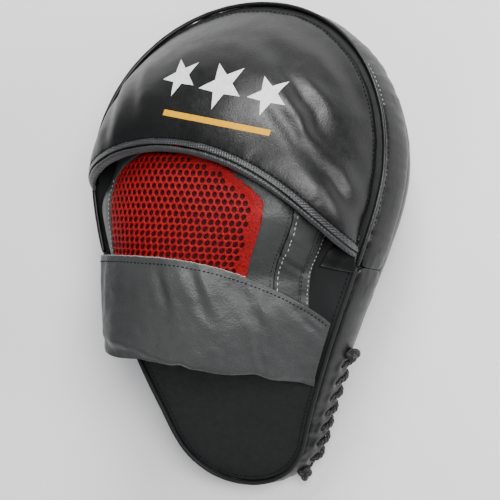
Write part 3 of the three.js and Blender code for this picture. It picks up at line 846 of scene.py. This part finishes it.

# ---- Mesh panel ----
# A red warp-knit net in the window: round holes in a honeycomb, closed towards its cut edges, on a red
# backing. The backing is a real layer, but its darker red is painted shade seen down the holes. It is laid
# over the right panel's edge and under the left one's.
NET_PITCH, NET_START, NET_END = 4.4, -28, 60
MESH_RED = (0.38, 0.002, 0.005, 1)
# Painted shade: the backing's red is darker than the net's to stand for the shade down the holes.
MESH_BACKING_SHADE_RED = (0.085, 0.002, 0.004, 1)
section_reach = {}


def share_at(reach, along):
    """The share of the arch at a distance from its crest, measured over the cover in millimetres."""
    key = round(along)
    if key not in section_reach:
        shares = [i / 60 * THUMB_SEAM for i in range(61)]
        points = [cover_section(share, key) for share in shares]
        runs = [0.0]
        for a, b in zip(points, points[1:]):
            runs.append(runs[-1] + (b - a).length)
        middle = next(run for share, run in zip(shares, runs) if share >= 1)
        section_reach[key] = (shares, [run - middle for run in runs])
    shares, runs = section_reach[key]
    i = next((k for k, run in enumerate(runs) if run >= reach), len(runs) - 1)
    i = max(i, 1)
    return lerp(shares[i - 1], shares[i], (reach - runs[i - 1]) / (runs[i] - runs[i - 1]))


def knit(name, colour):
    """Knitted polyester: short glossy threads in every direction, with painted shade down between them."""
    material = bpy.data.materials.new(name)
    material.use_nodes = True
    tree = material.node_tree
    shader = tree.nodes["Principled BSDF"]
    shader.inputs["Roughness"].default_value = 0.62
    shader.inputs["Specular IOR Level"].default_value = 0.25
    place = tree.nodes.new("ShaderNodeTexCoord").outputs["Object"]
    threads = node_at(tree, "ShaderNodeTexNoise", Scale=1100, Detail=3, Roughness=0.7, Distortion=1.4)
    tree.links.new(place, threads.inputs["Vector"])
    # Painted shade: the colour darkens to a fifth where the threads' bump goes down between them.
    tone = tree.nodes.new("ShaderNodeValToRGB")
    tone.color_ramp.elements[0].color = tuple(0.22 * c for c in colour[:3]) + (1,)
    tone.color_ramp.elements[0].position = 0.4
    tone.color_ramp.elements[1].color = colour
    tone.color_ramp.elements[1].position = 0.58
    tree.links.new(threads.outputs["Fac"], tone.inputs["Fac"])
    tree.links.new(tone.outputs["Color"], shader.inputs["Base Color"])
    bump = node_at(tree, "ShaderNodeBump", Strength=0.8, Distance=0.0004)
    tree.links.new(threads.outputs["Fac"], bump.inputs["Height"])
    tree.links.new(bump.outputs["Normal"], shader.inputs["Normal"])
    return material


def in_window(reach, along, margin):
    """Whether a cell's middle lies in the window, and at least margin inside its right edge."""
    share = share_at(reach, along)
    inside = along_line(WINDOW_LEFT, along) - 0.02 <= share
    return inside and share <= along_line(WINDOW_RIGHT, along) - margin and NET_START < along < NET_END + 1


def honeycomb():
    """The net laid flat: x is millimetres from the crest over the arch, y along the pad."""
    bpy.ops.mesh.primitive_circle_add(vertices=6, radius=NET_PITCH / math.sqrt(3), fill_type="NGON")
    closed = bpy.context.object
    bpy.ops.object.mode_set(mode="EDIT")
    bpy.ops.mesh.select_all(action="SELECT")
    bpy.ops.mesh.inset(thickness=NET_PITCH * 0.145)
    bpy.ops.object.mode_set(mode="OBJECT")
    only(closed)
    bpy.ops.object.duplicate()
    holed = bpy.context.object
    bpy.ops.object.mode_set(mode="EDIT")
    bpy.ops.mesh.select_all(action="DESELECT")
    bpy.ops.object.mode_set(mode="OBJECT")
    middle = min(holed.data.polygons, key=lambda f: f.center.length)
    middle.select = True
    bpy.ops.object.mode_set(mode="EDIT")
    bpy.ops.mesh.delete(type="FACE")
    bpy.ops.object.mode_set(mode="OBJECT")
    cells = []
    for row in range(26):
        along = NET_START + row * NET_PITCH * math.sqrt(3) / 2
        for column in range(-22, 16):
            reach = (column + 0.5 * (row % 2)) * NET_PITCH
            if along > NET_END or not in_window(reach, along, -0.02):
                continue
            open_cell = in_window(reach + 6, along, 0.02) and in_window(reach + 2, along + 4, 0.02)
            cell = bpy.data.objects.new("cell", (holed if open_cell else closed).data)
            cell.location = (reach, along, 0)
            bpy.context.scene.collection.objects.link(cell)
            cells.append(cell)
    bpy.data.objects.remove(closed)
    bpy.data.objects.remove(holed)
    only(*cells)
    bpy.ops.object.make_single_user(object=True, obdata=True)
    bpy.ops.object.transform_apply(location=True, rotation=False, scale=False)
    bpy.ops.object.join()
    bpy.ops.object.mode_set(mode="EDIT")
    bpy.ops.mesh.select_all(action="SELECT")
    bpy.ops.mesh.remove_doubles(threshold=0.05)
    bpy.ops.object.mode_set(mode="OBJECT")
    return bpy.context.object


net = honeycomb()
net.name = "mesh_net"
for vertex in net.data.vertices:
    reach, along = vertex.co.x, vertex.co.y
    cut = along_line(WINDOW_RIGHT, along) + 0.006 * noise.noise(Vector((reach, along, 2)) / 3)
    share = min(share_at(reach, along), cut)
    over_edge = smoothstep(share - along_line(WINDOW_RIGHT, along), -0.10, -0.03)
    under_edge = 1 - smoothstep(share - along_line(WINDOW_LEFT, along), 0.01, 0.06)
    lift = lerp(-0.5, 1.0, over_edge) - 2.2 * under_edge
    lift += 0.5 * noise.noise(Vector((reach, along, 0)) / 16)
    vertex.co = on_cover(share, along, lift)
net.data.update()
bpy.ops.object.mode_set(mode="EDIT")
bpy.ops.mesh.normals_make_consistent(inside=False)
bpy.ops.object.mode_set(mode="OBJECT")
apply_modifier(net, "SOLIDIFY", thickness=0.0011, offset=0)
apply_modifier(net, "SUBSURF", levels=1, render_levels=1)
only(net)
bpy.ops.object.shade_smooth()
net.data.materials.append(knit("red_knit", MESH_RED))
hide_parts("mesh_panel")
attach(net, "pad")


def backing_place(u, v):
    along = lerp(NET_START, NET_END, v)
    share = lerp(along_line(WINDOW_LEFT, along) - 0.03, along_line(WINDOW_RIGHT, along) - 0.03, u)
    return on_cover(share, along, -2.4)


backing = grid_piece("mesh_backing", 50, 44, backing_place)
apply_modifier(backing, "SOLIDIFY", thickness=0.0005, offset=0)
# Painted shade: a darker red than the net, standing for the shade seen through the holes.
backing.data.materials.append(knit("backing_knit_painted_shade", MESH_BACKING_SHADE_RED))
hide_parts("mesh_panel")
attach(backing, "pad")

# ---- Hand cover lining, finger stalls and palm ball ----
# Inside: a cloth lining under the cover, four cloth finger stalls under the hood and a firm ball under the
# palm, all on the pad's back.
for node, name, finish, slot, levels in (
    ("hand_cover_lining", "cover_cloth", lining_cloth, "black_cloth", 1),
    ("finger_stall_little", "stall_little", lining_cloth, "black_cloth", 1),
    ("finger_stall_ring", "stall_ring", lining_cloth, "black_cloth", 1),
    ("finger_stall_middle", "stall_middle", lining_cloth, "black_cloth", 1),
    ("finger_stall_index", "stall_index", lining_cloth, "black_cloth", 1),
    ("palm_ball", "palm_grip", matt_leather, "matt_leather", 2),
):
    piece = smooth_copy(node, name, levels)
    piece.data.materials.append(finish)
    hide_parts(node)
    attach(piece, "pad")

# ---- Thumb stall ----
# A grey leather pocket sewn to the cover's right edge. It stands out between its seam and its hem, which
# is turned in, sewn twice and comes down on the pad.
STALL_START, STALL_END, STALL_EDGE = -42, 46, 1.985


def puff_out(piece, spots):
    """Swellings and hollows: each at a flat place, with a radius and a height in millimetres."""
    def depth(point):
        flat = flat_place(point)
        total = 0.0
        for at, wide, high in spots:
            total += high * MM * math.exp(-((flat - Vector(at)).length / wide) ** 2)
        return total

    sculpt(piece, depth)


stall = grid_piece(
    "thumb_leather",
    48,
    80,
    lambda u, v: on_cover(lerp(THUMB_SEAM + 0.004, STALL_EDGE, u), lerp(STALL_START, STALL_END, v)),
)
tuck_in(stall, tuck=0.9, reach=2, pucker=0.45, pucker_reach=8, pitch=6)
puff_out(stall, [((46, 8), 19, 2.6), ((52, -14), 10, 1.2)])
crease(
    stall,
    [
        ((30, 30), (56, 14), 2.6, 0.9),
        ((32, 18), (54, 2), 2.4, 0.8),
        ((36, 2), (54, -12), 2.2, 0.8),
        ((36, 38), (60, 30), 2.6, 0.7),
    ],
)
soften(stall, 0.9, 12)
under_cuff(stall, 3.0)
stall_skin = surface_of(stall)
thicken(stall, LEATHER)
stall.data.materials.append(grey_leather)
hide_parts("thumb_stall")
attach(stall, "pad")


def on_stall(share, along):
    """A place just over the stall's leather."""
    point, normal, _, _ = stall_skin.find_nearest(on_cover(share, along))
    return point + normal * 0.9 * MM


hem = grid_piece(
    "thumb_hem",
    8,
    80,
    lambda u, v: on_stall(lerp(STALL_EDGE - 0.11, STALL_EDGE, u), lerp(STALL_START, STALL_END, v)),
)
soften(hem, 0.25, 7)
hem_skin = surface_of(hem)
thicken(hem, 2.4, edge=0.6)
hem.data.materials.append(grey_leather)
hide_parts("thumb_stall_hem")
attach(hem, "pad")

# ---- Cuff ----
# The wrist strap: grey leather with a thin foam under it, sewn to the pad's left edge at its foot, folded
# over the wrist and closed by its hook-and-loop end. Its top edge is cut raw, its lower one turned under.


def over_low_edge(flat):
    """How far a place on the strap lies above its lower edge, in millimetres."""
    return flat.y - CUFF_LOW_EDGE + CUFF_SLANT * max(flat.x - CUFF_CREST, 0) / 100


def wave_low_edge(piece):
    """The strap's turned lower edge runs in uneven waves, drawn up where it is caught in the hand."""
    for vertex in piece.data.vertices:
        flat = flat_place(vertex.co)
        close = math.exp(-max(over_low_edge(flat), 0) / 9)
        notch = sum(math.exp(-(((flat.x - x) / 4) ** 2)) for x in (-12, 30))
        vertex.co.y += MM * close * (1.6 * noise.noise(Vector((flat.x / 17, 0, 4))) + 1.7 * notch)
    piece.data.update()


CUFF_COLUMNS, CUFF_ROWS = 240, 64
cuff = grid_piece("cuff_leather", CUFF_COLUMNS, CUFF_ROWS, lambda u, v: cuff_place(TAB_END * u, v))
puff_out(
    cuff,
    [
        ((-52, -19), 10, 1.5), ((-34, -22), 9, 1.2), ((-14, -20), 10, 1.9), ((6, -24), 9, 1.6),
        ((-60, -52), 14, 1.4), ((16, -46), 16, 1.2), ((-34, -46), 18, 0.8), ((44, -38), 14, 1.8),
    ],
)
crease(
    cuff,
    [
        ((-78, -14), (-77, -50), 2.6, 0.8),
        ((-70, -14), (-72, -44), 2.6, 0.6),
        ((-26, -13), (-18, -36), 3.2, 0.9),
        ((-4, -14), (6, -38), 2.8, 1.0),
        ((22, -20), (36, -46), 3.2, 0.8),
        ((33, -22), (34, -80), 1.8, 0.35),
        ((50, -32), (66, -50), 2.2, 0.5),
        ((56, -34), (68, -44), 1.8, 0.4),
        ((-72, -58), (-36, -63), 3.0, 1.3),
    ],
)
for vertex in cuff.data.vertices:  # the lower edge is turned under
    flat = flat_place(vertex.co)
    turned = math.exp(-((max(over_low_edge(flat), 0) / 2.4) ** 2))
    vertex.co.z -= 2.6 * MM * turned * smoothstep(flat.x, -72, -52)
cuff.data.update()
soften(cuff, 0.8, 30)
soften(cuff, 0.4, 7)
wave_low_edge(cuff)
cuff_skin = surface_of(cuff)
thicken(cuff, LEATHER, edge=0.5)
cuff.data.materials.append(grey_leather)


def part_off(piece, name, share, towards, past):
    """Cuts the strap across at one share of its section, and gives the part before or past the cut."""
    low, high = cuff_place(share, 0), cuff_place(share, 1)
    line = (high - low).normalized()
    ahead = Vector(towards)
    plane = (ahead - line * ahead.dot(line)).normalized()
    only(piece)
    bpy.ops.object.duplicate()
    part = bpy.context.object
    part.name = name
    bpy.ops.object.mode_set(mode="EDIT")
    bpy.ops.mesh.select_all(action="SELECT")
    middle = low.lerp(high, 0.5)
    bpy.ops.mesh.bisect(plane_co=middle, plane_no=plane, clear_inner=past, clear_outer=not past)
    bpy.ops.object.mode_set(mode="OBJECT")
    return part


tab = part_off(cuff, "tab_leather", CUFF_CREASE, (1, 0, 0), True)
rest = part_off(cuff, "strap_leather", CUFF_CREASE, (1, 0, 0), False)
fold_ahead = Vector((0.034, -0.135, 0.980))  # square to the fold, up from the pad
cuff_foot = part_off(rest, "cuff_foot_leather", CUFF_FOLD, fold_ahead, False)
strap = part_off(rest, "cuff_strap_leather", CUFF_FOLD, fold_ahead, True)
bpy.data.objects.remove(cuff)
bpy.data.objects.remove(rest)
for piece, node in ((cuff_foot, "cuff_foot"), (strap, "cuff_strap"), (tab, "cuff_tab")):
    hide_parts(node)
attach(cuff_foot, "pad")
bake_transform(strap)
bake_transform(tab)
cuff_padding = smooth_copy("cuff_padding", "cuff_foam", 1)
for vertex in cuff_padding.data.vertices:
    flat = flat_place(vertex.co)
    vertex.co.y += 5 * MM * (1 - smoothstep(over_low_edge(flat), 2, 14))
cuff_padding.data.materials.append(cut_foam)
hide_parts("cuff_padding")
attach(cuff_padding, "cuff")

# ---- Hook-and-loop patches ----
# Woven tape patches that close the cuff: stiff hooks under its end and soft loops on the pad below it.
# Both are sewn down.
hook_finish = woven("hook_and_loop_tape", (0.012, 0.012, 0.013, 1), 0.8, 1.2, depth=0.9)
for node, name, body in (("hook_patch", "hook_tape", "tab"), ("loop_patch", "loop_tape", "pad")):
    patch = smooth_copy(node, name, 2)
    soften(patch, 0.1, 3)
    only(patch)
    bpy.ops.object.shade_smooth_by_angle(angle=math.radians(50))
    patch.data.materials.append(hook_finish)
    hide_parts(node)
    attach(patch, body)

# ---- Lace ----
# Waxed cord of three twisted strands that closes the side seam below the cuff. It goes in at a hole each
# side of the seam by turns, with a round knot at each end.
STRAND, TWIST, LACE_STEPS = 0.85, 9, 700
KNOT_LOOP, KNOT_CORD, KNOT_STAND_OFF = 1.15, 1.8, 2.8


def cord_along(name, points, radius, sides=2):
    """A round cord through the given points."""
    line = bpy.data.curves.new(name, "CURVE")
    line.dimensions = "3D"
    spline = line.splines.new("POLY")
    spline.points.add(len(points) - 1)
    for spot, point in zip(spline.points, points):
        spot.co = (*point, 1)
    line.bevel_depth = radius * MM
    line.bevel_resolution = sides
    line.use_fill_caps = True
    piece = bpy.data.objects.new(name, line)
    bpy.context.scene.collection.objects.link(piece)
    only(piece)
    bpy.ops.object.convert(target="MESH")
    bpy.ops.object.shade_smooth()
    return bpy.context.object


def lace_line(share):
    """The lace's middle: over the seam and down at each turn, then back inside the wall."""
    turns = LACE_TURNS * share
    phase = turns - math.floor(turns)
    turn = lerp(LACE_FROM, LACE_TO, share)
    bow = math.sin(2 * math.pi * phase)
    if phase < 0.5:
        return wall_point(turn, lerp(-3.5, LACE_REACH, phase * 2), 1.9 * bow - 0.5)
    return wall_point(turn, lerp(LACE_REACH, -3.5, phase * 2 - 1), 2.2 * bow - 0.5)


waxed_cord = woven("waxed_cord", (0.013, 0.013, 0.014, 1), 0.5, 0.5, depth=0.8)
middle_line = [lace_line(i / LACE_STEPS) for i in range(LACE_STEPS + 1)]
wall_skin = surface_of(bpy.data.objects["heel_side_leather"])
knot_middles = []
for node in ("lace_knot_top", "lace_knot_heel"):
    low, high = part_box(node)
    point, normal, _, _ = wall_skin.find_nearest((low + high) / 2)
    knot_middles.append(point + normal * KNOT_STAND_OFF * MM)
middle_line = [knot_middles[0].lerp(middle_line[0], i / 20) for i in range(20)] + middle_line
middle_line += [middle_line[-1].lerp(knot_middles[1], (i + 1) / 20) for i in range(20)]
last = len(middle_line) - 1

for strand in range(3):
    points = []
    run = 0.0
    for i, point in enumerate(middle_line):
        ahead = middle_line[min(i + 1, last)] - middle_line[max(i - 1, 0)]
        run += ahead.length / 2 / MM
        forward = ahead.normalized()
        side = forward.cross(Vector((0, 0, 1))).normalized()
        over = side.cross(forward)
        angle = 2 * math.pi * (run / TWIST + strand / 3)
        points.append(point + (side * math.cos(angle) + over * math.sin(angle)) * 0.95 * MM)
    piece = cord_along(f"lace_strand_{strand + 1}", points, STRAND)
    piece.data.materials.append(waxed_cord)
    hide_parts("lace")
    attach(piece, "pad")
for node, name, middle in zip(
    ("lace_knot_top", "lace_knot_heel"), ("knot_top", "knot_heel"), knot_middles
):
    points = []
    for i in range(121):
        t = 2 * math.pi * i / 120
        across = math.sin(t) + 2 * math.sin(2 * t)
        along = math.cos(t) - 2 * math.cos(2 * t)
        points.append(middle + Vector((across, along, -math.sin(3 * t))) * KNOT_LOOP * MM)
    knot = cord_along(name, points, KNOT_CORD)
    knot.data.materials.append(waxed_cord)
    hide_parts(node)
    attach(knot, "pad")

# ---- Corner fold ----
# Where the hood ends on the thumb side its gloss leather is folded back on itself over the perimeter, and
# stitched down flat.


def fold_place(u, v):
    across = lerp(63 + 9 * v, 86 + 2 * v, u)
    along = lerp(-8 - 3 * u, 8, v)
    rise = math.sin(math.pi * min(v + 0.12, 1)) ** 0.5 * (1 - 0.4 * u)
    return on_back(across, along, 1.0 + 2.6 * rise)


fold = grid_piece("corner_fold", 24, 20, fold_place)
soften(fold, 0.5, 9)
thicken(fold, 1.2)
fold.data.materials.append(gloss_leather)
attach(fold, "pad")

# ---- Stitching ----
# Thread laid in every seam that shows, one short stitch at a time: black on the hood, heel and cuff, white
# at the thumb, by the mesh and on the upper side seam.


def thread(name, colour):
    """Twisted sewing thread, waxed, without much shine, with painted shade in the grooves between its plies.
    """
    material = bpy.data.materials.new(name)
    material.use_nodes = True
    tree = material.node_tree
    shader = tree.nodes["Principled BSDF"]
    shader.inputs["Roughness"].default_value = 0.85
    shader.inputs["Specular IOR Level"].default_value = 0.15
    place = tree.nodes.new("ShaderNodeTexCoord").outputs["Object"]
    plies = node_at(tree, "ShaderNodeTexNoise", Scale=2600, Detail=2)
    tree.links.new(place, plies.inputs["Vector"])
    # Painted shade: the colour darkens where the plies' bump goes down between them.
    tone = tree.nodes.new("ShaderNodeValToRGB")
    tone.color_ramp.elements[0].color = tuple(0.6 * c for c in colour[:3]) + (1,)
    tone.color_ramp.elements[0].position = 0.35
    tone.color_ramp.elements[1].color = colour
    tree.links.new(plies.outputs["Fac"], tone.inputs["Fac"])
    tree.links.new(tone.outputs["Color"], shader.inputs["Base Color"])
    bump = node_at(tree, "ShaderNodeBump", Strength=0.5, Distance=0.0002)
    tree.links.new(plies.outputs["Fac"], bump.inputs["Height"])
    tree.links.new(bump.outputs["Normal"], shader.inputs["Normal"])
    return material


def paced(route, pitch):
    """Points at even steps along a route."""
    spots, left_over = [], 0.0
    for a, b in zip(route, route[1:]):
        run = (b - a).length
        reach = pitch * MM - left_over
        while reach <= run:
            spots.append((a.lerp(b, reach / run), (b - a).normalized()))
            reach += pitch * MM
        left_over = run - (reach - pitch * MM)
    return spots


def stitch_row(name, route, surface, finish, pitch, length, width, body="pad"):
    """A row of stitches: each an oval lying half in the surface, a little crooked as real ones are."""
    bpy.ops.mesh.primitive_uv_sphere_add(segments=6, ring_count=4, radius=0.5)
    template = bpy.context.object
    copies = []
    for spot, forward in paced(route, pitch):
        point, normal, _, _ = surface.find_nearest(spot)
        side = normal.cross(forward).normalized()
        forward = side.cross(normal)
        lean = 0.12 * noise.noise(spot * 900)
        forward = (forward + side * lean).normalized()
        side = normal.cross(forward)
        size = Vector((length, width, 0.7 * width)) * (1 + 0.15 * noise.noise(spot * 1300)) * MM
        turn = Matrix((forward * size.x, side * size.y, normal * size.z)).transposed().to_4x4()
        copy = bpy.data.objects.new(name, template.data)
        copy.matrix_world = Matrix.Translation(point + normal * 0.1 * MM) @ turn
        bpy.context.scene.collection.objects.link(copy)
        copies.append(copy)
    bpy.data.objects.remove(template)
    only(*copies)
    bpy.ops.object.make_single_user(object=True, obdata=True)
    bpy.ops.object.transform_apply(location=True, rotation=True, scale=True)
    bpy.ops.object.join()
    row = bpy.context.object
    row.name = name
    bpy.context.scene.cursor.location = (0, 0, 0)
    bpy.ops.object.origin_set(type="ORIGIN_CURSOR")
    bpy.ops.object.shade_smooth()
    row.data.materials.append(finish)
    if body:
        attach(row, body)
    return row


def rim_route(start, end, offset, height, count):
    """A line along the perimeter, moved out by offset and up from the pad's back by height."""
    points = []
    for i in range(count + 1):
        flat = rim(lerp(start, end, i / count), offset)
        points.append(on_back(flat.x, flat.y, height))
    return points


def cuff_route(low_share, high_share, v, count=80):
    return [cuff_place(lerp(low_share, high_share, i / count), v) for i in range(count + 1)]


def cover_route(share, start, end, count=50):
    return [on_cover(share, lerp(start, end, i / count)) for i in range(count + 1)]


black_thread = thread("black_thread", (0.010, 0.010, 0.011, 1))
white_thread = thread("white_thread", (0.62, 0.61, 0.58, 1))
mouth_route = [up_from_mouth(0.02 + 0.96 * i / 60, TAPE_WIDTH + 1.2) for i in range(61)]
hood_rim_route = rim_route(HOOD_FROM, HOOD_TO, -7.4, 5, 160)
heel_route = rim_route(HOOD_TO + 0.02, 1 + HOOD_FROM - 0.02, -5.4, 0, 160)
upper_side_route = rim_route(0.04, 0.15, 0.2, -1.4, 60)
side_route = rim_route(0.155, HOOD_TO + 0.03, 0.2, -1.4, 60)
back_panel_skin = surface_of(back_panel)
head_wall_skin = surface_of(bpy.data.objects["head_side_leather"])
left_skin, right_skin = cover_skins["hand_cover_left"], cover_skins["hand_cover_right"]

# Each row's name, route, leather and thread, then the pitch, length and width of its stitches in millimetres.
for name, route, surface, finish, pitch, length, width in (
    ("hood_mouth_stitches", mouth_route, hood_skin, black_thread, 3.1, 2.4, 0.95),
    ("hood_rim_stitches", hood_rim_route, hood_skin, black_thread, 3.1, 2.3, 0.9),
    ("heel_stitches", heel_route, back_panel_skin, black_thread, 3.1, 2.2, 0.7),
    ("upper_side_stitches", upper_side_route, head_wall_skin, white_thread, 3.4, 1.7, 0.55),
    ("side_stitches", side_route, head_wall_skin, black_thread, 3.2, 2.0, 0.7),
):
    stitch_row(name, route, surface, finish, pitch, length, width)

CUFF_STITCH_LINE = 0.945  # the share of the cuff's width at which its rows run
cuff_line = cuff_route(0.12, CUFF_CREASE, CUFF_STITCH_LINE)
row = stitch_row("cuff_edge_stitches", cuff_line, cuff_skin, black_thread, 2.7, 1.8, 0.8, body=None)
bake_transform(row)
tab_line = cuff_route(CUFF_CREASE - 0.008, 1.96, CUFF_STITCH_LINE)
row = stitch_row("tab_edge_stitches", tab_line, cuff_skin, black_thread, 2.7, 1.8, 0.8, body=None)
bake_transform(row)

for name, share, start, end, surface, finish, pitch, length, width in (
    ("thumb_seam_stitches", THUMB_SEAM + 0.028, -34, 42, stall_skin, white_thread, 3.7, 2.5, 0.8),
    ("hem_outer_stitches", 1.965, -34, 38, hem_skin, white_thread, 2.8, 1.9, 0.65),
    ("hem_inner_stitches", 1.890, -34, 38, hem_skin, black_thread, 2.8, 1.9, 0.65),
    ("thumb_groove_stitches", THUMB_SEAM - 0.03, -32, 42, right_skin, black_thread, 3.0, 1.8, 0.5),
    ("window_left_stitches", 0.40, -30, 38, left_skin, white_thread, 3.0, 1.8, 0.6),
):
    stitch_row(name, cover_route(share, start, end), surface, finish, pitch, length, width)

# ---- Raw edge of the cuff ----
# The cuff's top edge is cut and not turned under, so the leather's pale woven backing frays out along it
# in a thin uneven line.
fray_finish = thread("pale_fray", (0.42, 0.42, 0.40, 1))


def fray_line(low_share, high_share, count):
    """The cut edge's line, a little unsteady."""
    points = []
    for i in range(count + 1):
        share = lerp(low_share, high_share, i / count)
        spot = cuff_place(share, 1.0)
        point, normal, _, _ = cuff_skin.find_nearest(spot)
        stray = Vector((noise.noise(spot * 700), noise.noise(spot * 700 + Vector((9, 0, 0))), 0))
        points.append(point + (stray * 0.35 - normal * 0.5) * MM + Vector((0, 0.35, 0)) * MM)
    return points


fray = cord_along("cuff_fray", fray_line(0.14, 1.44, 460), 0.3, sides=1)
sculpt(fray, lambda p: 0.3 * MM * noise.noise(p * 1100))
fray.data.materials.append(fray_finish)
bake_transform(fray)
